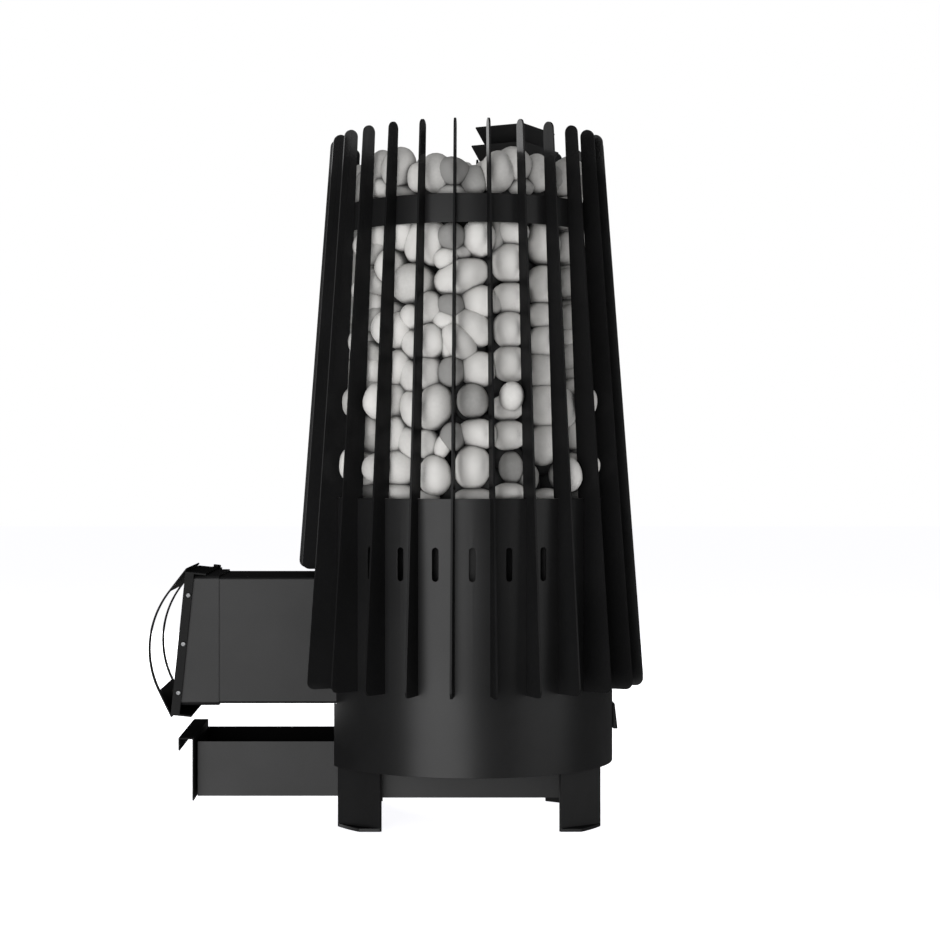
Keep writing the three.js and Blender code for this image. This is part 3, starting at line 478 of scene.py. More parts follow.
def sheet(name, middle, rotation, length, width):
    """A flat sheet round its middle, turned out of the level plane."""
    bpy.ops.object.select_all(action="DESELECT")
    bpy.ops.mesh.primitive_plane_add(size=1, location=middle, rotation=rotation)
    piece = bpy.context.object
    piece.name = name
    piece.scale = (length, width, 1)
    bpy.ops.object.transform_apply(location=True, rotation=True, scale=True)
    return piece


def extrude(*shift):
    bpy.ops.mesh.extrude_region_move(TRANSFORM_OT_translate={"value": shift})


def flat_bar(name, bottom):
    """One fin at the rear, cut to its outline and given its thickness."""
    rim_inner, rim_outer = cage_radius(fin_rim_z), fin_outer(fin_rim_z)
    tip_inner, tip_outer = cage_radius(fin_high.z), fin_outer(fin_high.z)
    middle = (axis[0] + (rim_inner + rim_outer) / 2, 0, (fin_rim_z + fin_high.z) / 2)
    fin = sheet(name, middle, (math.pi / 2, 0, 0), rim_outer - rim_inner, fin_high.z - fin_rim_z)
    pick(fin, "VERT", lambda point: point.z > fin_high.z - MM)
    taper = (tip_outer - tip_inner) / (rim_outer - rim_inner)
    bpy.ops.transform.resize(value=(taper, 1, 1), center_override=(axis[0] + rim_inner, 0, fin_high.z))
    bpy.ops.transform.translate(value=(tip_inner - rim_inner, 0, 0))
    leave_edit()

    root_x = axis[0] + fin_root
    pick_all(fin)
    bpy.ops.mesh.bisect(plane_co=(root_x, 0, 0), plane_no=(1, 0, 0))
    leave_edit()
    pick(fin, "EDGE", lambda a, b: max(a.z, b.z) < fin_rim_z + MM and min(a.x, b.x) > root_x - MM)
    extrude(0, 0, bottom - fin_rim_z)
    leave_edit()
    pick(fin, "VERT", lambda point: point.z < bottom + MM and point.x > root_x + MM)
    bpy.ops.transform.translate(value=(fin_outer(bottom) - rim_outer, 0, 0))
    leave_edit()
    pick_all(fin)
    bpy.ops.mesh.dissolve_limited(angle_limit=FLAT_ANGLE)
    leave_edit()

    pick(fin, "VERT", lambda point: point.z > fin_high.z - MM)
    bpy.ops.mesh.bevel(offset=FIN_TIP_WIDTH * FIN_TIP_ROUND, segments=8, affect="VERTICES")
    leave_edit()
    outer_x = axis[0] + fin_outer(bottom)
    pick(fin, "VERT", lambda point: point.z < bottom + MM and point.x > outer_x - MM)
    bpy.ops.mesh.bevel(offset=FIN_CORNER, segments=6, affect="VERTICES")
    leave_edit()
    apply_modifier(fin, "SOLIDIFY", thickness=FIN_THICKNESS, offset=0)
    round_edges(fin, THIN_EDGE)
    return fin


# The fins keep their full sheen only above the stone bed. Below it the sheen is cut down as a painted shade.
fin_paint = heat_paint("fin_paint", shade=0.0105, gloss=0.8, blur=0.22, shaded_below=bed_top)
long_fin = flat_bar("long_fin", fin_low.z)
short_fin = flat_bar("short_fin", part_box("fin_14")[0].z)
for i in range(FIN_COUNT):
    node = f"fin_{i + 1:02d}"
    is_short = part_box(node)[0].z > fin_low.z + MM
    fin = copy_of(short_fin if is_short else long_fin, f"flat_bar_{i + 1:02d}")
    turn(fin, i * 2 * math.pi / FIN_COUNT, axis)
    dress(fin, fin_paint, "black_paint", "stove", node)
bpy.data.objects.remove(long_fin)
bpy.data.objects.remove(short_fin)

# Top band: a strip of 2 mm steel rolled into a cone ring, welded to the inner edges of all the fins.
# It holds the fins apart and the stones in.
BAND_WALL = 2 * MM
low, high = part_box("top_band")
band = pipe("band_ring", (high.y - low.y) / 2, low.z, high.z, CASING_SIDES, axis)
pick(band, "VERT", lambda point: point.z > (low.z + high.z) / 2)
band_taper = cage_radius(high.z) / cage_radius(low.z)
bpy.ops.transform.resize(value=(band_taper, band_taper, 1), center_override=(*axis, high.z))
leave_edit()
thicken(band, BAND_WALL)
round_edges(band, CUT_EDGE)
dress(band, black_paint, "black_paint", "stove", "top_band")

# Flue spigot: a steel pipe on a ring flange that stands on the crown, among the stones.
# The chimney's first pipe is pushed on from above.
FLUE_WALL = 2 * MM
FLUE_FLANGE = (8 * MM, 3 * MM)
FLUE_SIDES = 72
low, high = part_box("flue_spigot")
flange_width, flange_height = FLUE_FLANGE
flue_middle = ((low.x + high.x) / 2, 0)
flange_radius = (high.y - low.y) / 2
flue_radius = flange_radius - flange_width
flue = pipe("flue_pipe", flue_radius, low.z, high.z, FLUE_SIDES, flue_middle)
thicken(flue, FLUE_WALL)
flange = pipe("flue_flange", flange_radius, low.z, low.z + flange_height, FLUE_SIDES, flue_middle)
thicken(flange, flange_width)
flue = join([flue, flange])
round_edges(flue, CUT_EDGE)
dress(flue, burnt_paint, "black_paint", "stove", "flue_spigot")

# Water hopper: a flared funnel of thin black steel, with a shallow grey tray round its foot.
# Water poured in runs down a tube through the stones to the hot crown.
HOPPER_TURN = math.radians(-29)
HOPPER_RIM = (69 * MM, 96 * MM)
HOPPER_TAPER = 0.54
TRAY_RIM_SCALE = 1.1
TRAY_BASE_SCALE = 0.85
HOPPER_WALL = 1.5 * MM
TUBE_RADIUS = 18 * MM
TUBE_WALL = 1.5 * MM
TUBE_SIDES = 40
TUBE_EDGE = 0.3 * MM


def funnel(name, node, rim_scale, base_scale, hole):
    """An open four-sided funnel with a round hole in its base."""
    low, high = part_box(node)
    middle = (low + high) / 2
    half_length, half_width = (side * rim_scale / 2 for side in HOPPER_RIM)
    piece = block(
        name,
        (middle.x - half_length, -half_width, low.z),
        (middle.x + half_length, half_width, high.z),
    )
    drop_faces(piece, lambda centre, normal: normal.z > ALONG)
    pick(piece, "VERT", lambda point: point.z < middle.z)
    taper = base_scale / rim_scale
    bpy.ops.transform.resize(value=(taper, taper, 1), center_override=(middle.x, 0, low.z))
    leave_edit()
    turn(piece, HOPPER_TURN, middle)
    thicken(piece, HOPPER_WALL)
    bpy.ops.mesh.primitive_cylinder_add(
        vertices=TUBE_SIDES, radius=hole, depth=CUT_PAST, location=(middle.x, 0, low.z)
    )
    cut(piece, bpy.context.object)
    round_edges(piece, THIN_EDGE)
    return piece


hopper = funnel("hopper_funnel", "water_hopper", 1, HOPPER_TAPER, TUBE_RADIUS - TUBE_WALL)
dress(hopper, black_paint, "black_paint", "stove", "water_hopper")
tray = funnel("hopper_dish", "hopper_tray", TRAY_RIM_SCALE, TRAY_BASE_SCALE, TUBE_RADIUS + SEAT)
tray_paint = heat_paint("tray_paint", shade=0.02, gloss=0.5)
dress(tray, tray_paint, "grey_paint", "stove", "hopper_tray")
dress(rounded_copy("water_tube", TUBE_EDGE), burnt_paint, "black_paint", "stove", "water_tube")

# Stones: rounded pale sauna stones, heaped by hand into the cage until they close round flue and hopper.
# The near ones lie as the photograph shows them. Each row gives a stone's middle and half sizes in pixels,
# its tilt in degrees, how far it lies behind the fins' inner edges in millimetres, and how grey it is.
CAMERA_PLACE = Vector((-0.00576, -2.6592, 0.4429))
PIXEL = 1.3 * MM
MIDDLE_PIXEL = (395, 475)
# A greyness above about 1.1 paints a stone black, as shade in the gaps between the others.
NEAR_STONES = (
    # Above the band
    (382, 168, 14, 17, 0, 4, 0.2), (399, 168, 17, 20, -15, 0, 0.0), (418, 178, 11, 14, 0, 3, 0.0),
    (383, 188, 12, 10, 0, 6, 0.1), (402, 192, 16, 8, 0, 14, 0.5), (436, 173, 16, 19, 0, 3, 0.1),
    (453, 171, 16, 13, -8, 1, 0.8), (474, 181, 13, 14, 0, 8, 0.5), (497, 172, 16, 21, -8, 0, 0.0),
    (514, 164, 18, 16, -35, 4, 0.1), (537, 173, 14, 18, 0, 2, 0.1), (557, 179, 10, 14, 0, 8, 0.6),
    (453, 192, 15, 8, 0, 14, 0.4), (520, 188, 13, 9, 0, 12, 0.3), (560, 196, 9, 8, 0, 18, 0.6),
    # First row under the band
    (366, 246, 13, 14, 0, -4, 0.3), (377, 240, 15, 19, 0, 2, 0.1), (391, 266, 16, 17, 8, 0, 0.1),
    (373, 277, 11, 12, 0, 8, 0.4), (403, 234, 14, 16, 0, 0, 0.0), (416, 242, 11, 20, -8, 3, 0.1),
    (433, 243, 16, 22, 0, 3, 0.1), (452, 237, 14, 14, 0, -1, 1.0),
    (446, 258, 13, 11, 20, 4, 0.0), (463, 252, 10, 8, 0, 10, 0.4),
    (478, 238, 17, 19, -10, 0, 0.0), (497, 236, 9, 18, 0, 13, 0.6), (511, 232, 17, 14, 0, 4, 0.1),
    (509, 263, 18, 19, 0, 0, 0.0), (541, 243, 18, 22, 0, 2, 0.2), (565, 238, 14, 14, 0, 8, 0.8),
    (566, 258, 13, 9, 0, 10, 0.6),
    # Second row
    (364, 291, 13, 15, 0, -4, 0.3), (373, 307, 13, 17, 0, 2, 0.1), (414, 284, 22, 20, 0, 0, 0.35),
    (430, 308, 15, 17, 0, 5, 0.2), (461, 277, 27, 18, 22, 0, 0.0),
    (541, 286, 19, 20, 0, 0, 0.2), (566, 282, 14, 19, 0, 6, 0.3), (567, 310, 13, 10, 0, 11, 0.8),
    # Third row
    (385, 329, 14, 17, 10, 0, 0.0), (370, 345, 12, 15, 0, 6, 0.3), (396, 311, 11, 8, 0, 12, 0.6),
    (411, 317, 11, 13, 0, 4, 0.1), (400, 331, 14, 18, 0, 0, 0.0), (412, 344, 11, 15, 20, 6, 0.2),
    (452, 305, 14, 12, -10, 4, 1.0), (445, 321, 12, 11, 0, 9, 0.1), (431, 341, 15, 17, 0, 0, 0.0),
    (449, 341, 10, 18, 0, 8, 0.2), (478, 302, 18, 17, 0, 5, 0.0), (472, 328, 22, 16, -48, 3, 0.1),
    (459, 342, 21, 15, -48, 0, 0.1), (509, 299, 18, 16, 0, 4, 0.1), (497, 303, 8, 10, 0, 12, 0.6),
    (509, 329, 16, 18, 0, 0, 0.0), (541, 316, 18, 14, 0, 4, 0.3), (543, 342, 18, 16, 0, 0, 0.1),
    (568, 342, 14, 17, 0, 4, 0.3), (361, 342, 13, 13, 0, -4, 0.3),
    # Fourth row
    (373, 371, 13, 17, 0, 2, 0.3), (398, 367, 13, 18, -15, 0, 0.0), (410, 377, 11, 18, 15, 6, 0.2),
    (429, 373, 15, 17, 0, 6, 0.2), (452, 372, 14, 15, -30, 4, 1.0), (478, 369, 18, 18, 0, 4, 0.1),
    (509, 364, 18, 17, 0, 0, 0.1), (541, 370, 18, 19, 0, 3, 0.3), (570, 374, 14, 14, 0, 8, 0.7),
    # Fifth row
    (355, 402, 12, 15, 0, -19, 0.6), (377, 401, 13, 17, 0, -20, 0.1), (397, 400, 14, 18, 0, 5, 0.4),
    (412, 410, 12, 19, 12, 2, 0.1), (435, 407, 17, 24, -14, 0, 0.3), (472, 400, 15, 17, 0, 3, 0.8),
    (512, 396, 12, 14, 0, -24, 0.35), (507, 408, 15, 13, 0, 6, 0.2), (542, 406, 19, 23, 0, 2, 0.2),
    (564, 408, 12, 19, 0, 0, 0.0), (585, 402, 12, 15, 0, -20, 0.5),
    # Sixth row
    (372, 436, 13, 16, 0, 6, 0.6), (397, 434, 13, 18, 0, 2, 0.1), (410, 443, 12, 17, 20, 6, 0.2),
    (428, 444, 13, 15, 0, 8, 0.2), (443, 446, 9, 13, -20, 8, 0.1), (453, 437, 13, 14, 10, 3, 1.0),
    (478, 434, 20, 14, -6, 2, 0.0), (509, 435, 17, 15, 0, 2, 0.1), (543, 444, 19, 21, 0, 4, 0.3),
    (574, 440, 13, 15, 0, 11, 1.1),
    # Seventh row
    (352, 466, 12, 17, 0, -20, 0.0), (375, 468, 13, 14, 0, -19, 0.5),
    (370, 452, 12, 10, 0, 14, 1.6), (369, 492, 14, 9, 0, 10, 1.5),
    (400, 468, 16, 18, 0, 2, 0.3), (401, 494, 18, 10, -8, 6, 0.5), (435, 475, 16, 20, 0, 0, 0.0),
    (427, 498, 12, 8, 0, 13, 0.5), (472, 467, 17, 22, 0, 0, 0.0), (474, 498, 20, 10, 0, 6, 0.6),
    (511, 467, 11, 16, 0, 7, 0.9), (509, 493, 17, 10, 0, 3, 0.3), (528, 478, 10, 14, 0, 10, 0.6),
    (558, 474, 10, 14, 0, 10, 0.7), (546, 497, 17, 8, 0, 4, 0.4), (568, 475, 13, 16, 0, -20, 0.0),
    (578, 497, 11, 8, 0, 8, 1.4), (588, 466, 12, 12, 0, -19, 0.2),
)
STONE_SNUG = 1.02
PLACING_ROUNDS = 5
NEAR_FINENESS = 3
FAR_FINENESS = 2
SIDE_PART = 0.75
GOLDEN_TURN = 2.39996
bed_low, bed_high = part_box("stone_bed_near")
tray_low, tray_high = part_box("hopper_tray")
tray_middle = (tray_low + tray_high) / 2


def behind_fins(column, row, behind):
    """The point seen at a pixel, on the near side at this depth behind the fins' inner edges.

    How wide a pixel is depends on how far away the point lies, so both are found in a few rounds.
    """
    y = 0
    for _ in range(PLACING_ROUNDS):
        pixel = PIXEL * (y - CAMERA_PLACE.y) / -CAMERA_PLACE.y
        x = CAMERA_PLACE.x + (column - MIDDLE_PIXEL[0]) * pixel - axis[0]
        z = CAMERA_PLACE.z + (MIDDLE_PIXEL[1] - row) * pixel
        radius = cage_radius(z) - behind
        x = max(-radius, min(radius, x))
        y = -math.sqrt(radius * radius - x * x)
    return Vector((x, y, z))


def pipe_room(place):
    """How far a place, given from the stove's axis, is from the nearer of flue and water tube."""
    flue_room = math.hypot(place.x + axis[0] - flue_middle[0], place.y) - flue_radius
    tube_room = math.hypot(place.x + axis[0] - tray_middle.x, place.y) - TUBE_RADIUS
    return min(flue_room, tube_room)


def ring_place(radius, angle, z):
    return Vector((radius * math.cos(angle), radius * math.sin(angle), z))


def heaped(name, rows, fineness):
    """A piece made of many stones, which keeps in its points how grey each of them is.

    The first stone starts the piece, and the others are added to its mesh.
    """
    bpy.ops.object.select_all(action="DESELECT")
    for place, sizes, tilt, roll, shade in rows:
        bpy.ops.mesh.primitive_ico_sphere_add(
            subdivisions=fineness,
            radius=1,
            location=(axis[0] + place.x, place.y, place.z),
            rotation=(0, tilt, roll),
            scale=sizes,
        )
        if bpy.context.mode == "OBJECT":
            bpy.ops.object.transform_apply(location=True, rotation=True, scale=True)
            bpy.ops.object.mode_set(mode="EDIT")
    leave_edit()
    piece = bpy.context.object
    piece.name = name
    points_each = len(piece.data.vertices) // len(rows)
    shades = [shade for *_, shade in rows for _ in range(points_each)]
    piece.data.attributes.new("shade", "FLOAT", "POINT").data.foreach_set("value", shades)
    return piece


fin_step = 2 * math.pi / FIN_COUNT
seen_stones = []
for column, row, half_width, half_height, tilt, behind, shade in NEAR_STONES:
    half_depth = (half_width + half_height) / 2
    sizes = [half * PIXEL * STONE_SNUG for half in (half_width, half_depth, half_height)]
    place = behind_fins(column, row, behind * MM + sizes[1])
    squeezed_out = behind < 0 and abs(place.x) > SIDE_PART * math.hypot(place.x, place.y)
    seen_stones.append((place, sizes, math.radians(-tilt), shade, squeezed_out))

# The sides out of the photograph's sight are heaped in the same way, turned by whole gaps between fins.
# A stone in front of a pipe is a flatter one, and only the seen side has stones squeezed out at its ends.
SEEN_GAPS = 9
heaps = []
for gaps in (0, SEEN_GAPS, -SEEN_GAPS):
    roll = gaps * fin_step
    rows = []
    for place, (half_width, half_depth, half_height), tilt, shade, squeezed_out in seen_stones:
        place = Matrix.Rotation(roll, 3, "Z") @ place
        flatter = max(0, half_depth - pipe_room(place)) / 2
        if flatter < half_depth / 2 and not (gaps and squeezed_out):
            outwards = Vector((place.x, place.y, 0)).normalized()
            sizes = (half_width, half_depth - flatter, half_height)
            rows.append((place + flatter * outwards, sizes, tilt, roll, shade))
    heaps.append(heaped("side_stones", rows, FAR_FINENESS if gaps else NEAR_FINENESS))

# Where two such sides meet, stones of other sizes settle on one another in the gaps between the fins.
# The pairs give a middle value and how far it varies from stone to stone.
MEETING_GAPS = (-5, -4, 4, 5, 13)
STONE_ROWS = 9
STONE_FIRST_RISE = 42 * MM
STONE_INSET = 20 * MM
STONE_HALF_DEPTH = 16 * MM
STONE_FILL = 0.97
STONE_STAGGER = 0.25
STONE_LIFT = 0.15
STONE_SHIFT = 0.12
STONE_TILT = 0.4
STONE_WIDTHS = (0.42, 0.08)
STONE_HEIGHTS = (0.52, -0.1)
STONE_SHADES = (0.25, 0.4)


def varied(pair, wobble):
    middle, change = pair
    return middle + change * wobble


rows = []
first_row = bed_low.z + STONE_FIRST_RISE
row_step = (bed_high.z - first_row) / (STONE_ROWS - 1 + STONE_FILL / 2)
for gap in MEETING_GAPS:
    angle = gap * fin_step - math.pi / 2
    for row in range(STONE_ROWS):
        wobble = math.sin(GOLDEN_TURN * (gap + row * FIN_COUNT))
        z = first_row + (row - STONE_STAGGER * (gap % 2) + STONE_LIFT * wobble) * row_step
        place = ring_place(cage_radius(z) - STONE_INSET, angle + STONE_SHIFT * wobble * fin_step, z)
        if pipe_room(place) > STONE_HALF_DEPTH:
            half_width = cage_radius(z) * fin_step * varied(STONE_WIDTHS, wobble)
            sizes = (STONE_HALF_DEPTH, half_width, row_step * varied(STONE_HEIGHTS, wobble))
            rows.append((place, sizes, STONE_TILT * wobble, angle, varied(STONE_SHADES, wobble)))

# The heap is closed on top with two layers of stones, smaller ones beside the flue and the water tube.
TOP_LAYERS = 2
TOP_STONES = 24
TOP_STONE_INSET = 60 * MM
TOP_STONE_SIZE = 23 * MM
TOP_STONE_LENGTH = 1.15
TOP_SHADES = (0.2, 0.2)
top_z = bed_high.z - row_step / 2
top_reach = cage_radius(top_z) - TOP_STONE_INSET
for layer in range(TOP_LAYERS):
    for i in range(TOP_STONES):
        part = (i + (1 + layer) / (1 + TOP_LAYERS)) / TOP_STONES
        angle = (i + layer / 2) * GOLDEN_TURN
        place = ring_place(top_reach * math.sqrt(part), angle, top_z - layer * row_step / 2)
        half = min(TOP_STONE_SIZE, pipe_room(place))
        if half > TOP_STONE_SIZE / 2:
            sizes = (half * TOP_STONE_LENGTH, half, min(half, row_step / 2))
            rows.append((place, sizes, 0, i * GOLDEN_TURN, varied(TOP_SHADES, math.sin(angle))))
heaps.append(heaped("gap_stones", rows, FAR_FINENESS))

# More stones fill the cage behind them, painted black as shade.
INNER_ROWS = 12
INNER_STONES = 18
INNER_INSET = 47 * MM
INNER_SIZES = (24 * MM, 20.4 * MM, 21.6 * MM)
# A greyness of 2 paints these stones black all over, as shade.
INNER_SHADE = 2
inner_half = max(INNER_SIZES)
inner_step = (bed_high.z - bed_low.z - 3 * inner_half) / (INNER_ROWS - 1)
rows = []
for row in range(INNER_ROWS):
    z = bed_low.z + inner_half + row * inner_step
    for i in range(INNER_STONES):
        angle = (i + row / 2) * 2 * math.pi / INNER_STONES
        place = ring_place(cage_radius(z) - INNER_INSET, angle, z)
        if pipe_room(place) > inner_half:
            rows.append((place, INNER_SIZES, angle, row * GOLDEN_TURN, INNER_SHADE))
heaps.append(heaped("inner_stones", rows, FAR_FINENESS))
stones = join(heaps)
stones.name = "sauna_stones"

# Tumbling has left the stones lumpy. Those deep in the cage and the crevices between them get a painted
# shade.
# Those near the top are kept free of the deep black, and a painted shade greys them as the light falls off
# upwards.
LUMP_SIZE = 35 * MM
LUMP_HEIGHT = 4.5 * MM
lumps = bpy.data.textures.new("stone_lumps", "CLOUDS")
lumps.noise_scale = LUMP_SIZE
lumps.noise_depth = 1
apply_modifier(stones, "DISPLACE", texture=lumps, texture_coords="LOCAL", strength=LUMP_HEIGHT, mid_level=0.5)
bpy.ops.object.shade_smooth()

PALE_STONE = (0.84, 0.825, 0.80, 1)
GREY_STONE = (0.32, 0.316, 0.308, 1)
SHADE_BLACK_STONE = (0.025, 0.025, 0.025, 1)
SHADE_DEPTH = (18 * MM, 50 * MM)
BLACK_SHADES = (1.1, 1.9)
SHADE_ENDS_Z = (0.80, 0.835)
TOP_SHADE_STARTS_Z = (0.76, 0.82)
TOP_SHADE_GREYS = 0.42
CREVICE_REACH = 14 * MM
CREVICE_OPEN = (0.25, 0.8)
CREVICE_SHADE = 0.85
pale_stone, stone = new_finish("pale_stone", Specular_IOR_Level=0.25)
place = stone.place()
height = place.upright()
across = place.vector_math("SUBTRACT", (*axis, 0)).vector_math("MULTIPLY", (1, 1, 0))
reach = across.vector_math("LENGTH", output="Value")
cage_lean = (cage_radius(fin_tip_z) - cage_radius(fin_rim_z)) / (fin_tip_z - fin_rim_z)
depth = cage_radius(fin_rim_z) + cage_lean * (height - fin_rim_z) - reach
# Where the stones lie close round a point, ambient occlusion paints it darker, a painted shade in the
# crevices.
open_sky = stone.node("ShaderNodeAmbientOcclusion", {"samples": 6}, {"Distance": CREVICE_REACH}, "AO")
crevice_shade = CREVICE_SHADE * (1 - open_sky.between(*CREVICE_OPEN))
patch = place.noise(24.0, 3.0)
fleck = place.noise(260.0, 4.0)
shade = stone.node("ShaderNodeAttribute", {"attribute_name": "shade"}, {}, "Fac")
# Stones deep behind the fins' inner edges, and those given a greyness above 1.1, are painted black as shade.
deep_shade = stone.math("MAXIMUM", depth.between(*SHADE_DEPTH), shade.between(*BLACK_SHADES))
painted_shade = deep_shade * (1 - height.between(*SHADE_ENDS_Z))
# Stones near the top are painted greyer, a painted shade as the light falls off upwards.
top_shade = TOP_SHADE_GREYS * height.between(*TOP_SHADE_STARTS_Z)
tone = (shade + top_shade + 0.5 * (patch - 0.5) + 0.2 * (fleck - 0.5)).between(-0.1, 1.1)
connect(
    pale_stone,
    {
        "Base Color": stone.math("MAXIMUM", painted_shade, crevice_shade).mixed(
            tone.mixed(PALE_STONE, GREY_STONE), SHADE_BLACK_STONE
        ),
        "Roughness": 0.6 + 0.25 * fleck,
        "Normal": (fleck + 0.5 * patch).bump(0.3, 0.6 * MM),
    },
)
dress(stones, pale_stone, "pale_stone", "stove", "stone_bed_near", "stone_bed_far")

# Fuel tunnel: 3 mm sheet folded into a square tube, welded through the casing into the firebox.
# Firewood is pushed along it from the door.
TUNNEL_WALL = 3 * MM
TUNNEL_BEND = 3.5 * MM
tunnel = block("tunnel_tube", tunnel_low, tunnel_high)
drop_faces(tunnel, lambda middle, normal: abs(normal.x) > ALONG)
pick(tunnel, "EDGE", lambda a, b: abs(a.x - b.x) > TUNNEL_BEND)
bpy.ops.mesh.bevel(offset=TUNNEL_BEND, segments=4)
leave_edit()
thicken(tunnel, TUNNEL_WALL)
round_edges(tunnel, CUT_EDGE)
grey_paint = heat_paint("grey_paint", shade=0.0105, gloss=0.4)
dress(tunnel, grey_paint, "grey_paint", "stove", "fuel_tunnel")

# Collar: a folded box round the tunnel's mouth, cut to the door's lean, with two lugs for the hinge.
# The door shuts against its front edge.
dress(rounded_copy("door_collar"), grey_paint, "grey_paint", "stove", "door_collar")

# Door leaf: a tray folded from 2 mm steel, with deep top and bottom flanges, side strips and a window.
# It leans back, so that it falls shut, and its flanges carry the two ears of the hinge.
DOOR_LEAN = math.radians(5.83)
DOOR_CORNER = Vector((-287.46 * MM, 0, 141.4 * MM))
DOOR_SIZE = (182 * MM, 181 * MM)
door_width, door_height = DOOR_SIZE
door_middle = door_height / 2


def lean_back(piece):
    """Take a piece from the door's upright drawing to its leaning place."""
    piece.data.transform(Matrix.Translation(DOOR_CORNER) @ Matrix.Rotation(DOOR_LEAN, 4, "Y"))


door_paint = heat_paint("door_paint", shade=0.0085, gloss=0.11)
dress(rounded_copy("door_leaf"), door_paint, "black_paint", "door", "door_leaf")

# Door glass: a square of clear heat-proof glass, held against the back of the leaf by a screwed-on frame.
# The fire's smoke has left a thin brown haze on it in patches.
GLASS_FRONT = 2.3 * MM
GLASS_SIDE = 136 * MM
GLASS_THICKNESS = 4 * MM
GLASS_EDGE = 0.8 * MM
CLEAR_GLASS = (0.62, 0.56, 0.48, 1)
SMOKED_GLASS = (0.34, 0.27, 0.2, 1)
glass = block(
    "glass_pane",
    (GLASS_FRONT, -GLASS_SIDE / 2, door_middle - GLASS_SIDE / 2),
    (GLASS_FRONT + GLASS_THICKNESS, GLASS_SIDE / 2, door_middle + GLASS_SIDE / 2),
)
round_edges(glass, GLASS_EDGE)
lean_back(glass)
heat_glass, pane = new_finish("heat_glass", Transmission_Weight=1.0, IOR=1.5)
haze = pane.place().noise(22.0, 5.0).between(0.3, 0.7)
haze_colour = haze.mixed(CLEAR_GLASS, SMOKED_GLASS)
connect(heat_glass, {"Base Color": haze_colour, "Roughness": 0.03 + 0.1 * haze})
dress(glass, heat_glass, "heat_glass", "door", "door_glass")

# Glass frame: a flat ring cut from 2 mm steel, screwed to the leaf from inside.
# It clamps the glass, and the fire has burnt its paint matt.
RETAINER_SIDE = 150 * MM
RETAINER_LAP = 15 * MM
RETAINER_THICKNESS = 2 * MM
retainer_x = GLASS_FRONT + GLASS_THICKNESS + SEAT
retainer = sheet(
    "glass_frame", (retainer_x, 0, door_middle), (0, math.pi / 2, 0), RETAINER_SIDE, RETAINER_SIDE
)
pick_all(retainer)
bpy.ops.mesh.inset(thickness=RETAINER_LAP)
bpy.ops.mesh.delete(type="FACE")
leave_edit()
apply_modifier(retainer, "SOLIDIFY", thickness=RETAINER_THICKNESS, offset=1)
round_edges(retainer, CUT_EDGE)
lean_back(retainer)
dress(retainer, burnt_paint, "black_paint", "door", "glass_retainer")

# Door seal: a flat braided rope of glass fibre, glued round the back of the leaf.
# The collar shuts on it. Its strands show as fine slanted ribs.
SEAL_EDGE = 1.2 * MM
ROPE_GROOVE = (0.012, 0.012, 0.012, 1)
ROPE_STRAND = (0.06, 0.058, 0.055, 1)
seal_rope, rope = new_finish("seal_rope", Specular_IOR_Level=0.1, Sheen_Weight=0.3)
place = rope.place()
ribs = rope.node(
    "ShaderNodeTexWave",
    {"bands_direction": "DIAGONAL"},
    {"Vector": place, "Scale": 190.0, "Distortion": 1.5, "Detail": 2.0},
    "Fac",
)
fibre = place.noise(900.0, 3.0)
connect(
    seal_rope,
    {
        "Base Color": (0.6 * ribs + 0.4 * fibre).mixed(ROPE_GROOVE, ROPE_STRAND),
        "Roughness": 0.85 + 0.1 * fibre,
        "Normal": (ribs + 0.4 * fibre).bump(0.7, MM),
    },
)
dress(rounded_copy("door_seal", SEAL_EDGE), seal_rope, "seal_rope", "door", "door_seal")

# Screws: six zinc-plated steel screws with domed cross heads, three through each side strip of the door.
# They hold the leaf together, and no two stopped at the same turn when they were driven in.
SCREW_X = 6.9 * MM
SCREW_PITCH = 61.5 * MM
SCREW_HEAD = (3.1 * MM, 2 * MM)
SCREW_DOME = 0.9 * MM
SCREW_SHANK = (1.6 * MM, 4 * MM)
CROSS = (3.6 * MM, 0.9 * MM, 1.1 * MM)
DULL_ZINC = (0.09, 0.091, 0.094, 1)
BRIGHT_ZINC = (0.22, 0.222, 0.226, 1)
zinc_plate, zinc = new_finish("zinc_plate", Metallic=1.0)
dull = zinc.place().noise(380.0, 4.0)
connect(
    zinc_plate,
    {
        "Base Color": dull.mixed(DULL_ZINC, BRIGHT_ZINC),
        "Roughness": 0.3 + 0.2 * dull,
        "Normal": dull.bump(0.1, 0.2 * MM),
    },
)


def round_bar(name, radius, length, middle, sides=32):
    """A closed round bar along Z."""
    bpy.ops.object.select_all(action="DESELECT")
    bpy.ops.mesh.primitive_cylinder_add(vertices=sides, radius=radius, depth=length, location=middle)
    piece = bpy.context.object
    piece.name = name
    bpy.ops.object.transform_apply(location=True, rotation=True, scale=True)
    return piece


def cross_head_screw():
    """One screw that points along -Z, its head's underside at zero."""
    head_radius, head_height = SCREW_HEAD
    shank_radius, shank_length = SCREW_SHANK
    length, width, sink = CROSS
    screw = round_bar("screw", head_radius, head_height, (0, 0, head_height / 2))
    pick(screw, "FACE", lambda middle, normal: normal.z > ALONG)
    bpy.ops.mesh.bevel(offset=SCREW_DOME, segments=4)
    leave_edit()
    pick(screw, "FACE", lambda middle, normal: normal.z < -ALONG)
    bpy.ops.mesh.inset(thickness=head_radius - shank_radius)
    extrude(0, 0, -shank_length)
    leave_edit()
    top = head_height + MM
    first = block("cross_cut", (-length / 2, -width / 2, head_height - sink), (length / 2, width / 2, top))
    second = block("cross_cut", (-width / 2, -length / 2, head_height - sink), (width / 2, length / 2, top))
    cut(screw, first, second)
    make_active(screw)
    bpy.ops.object.shade_smooth_by_angle(angle=math.radians(40))
    return screw


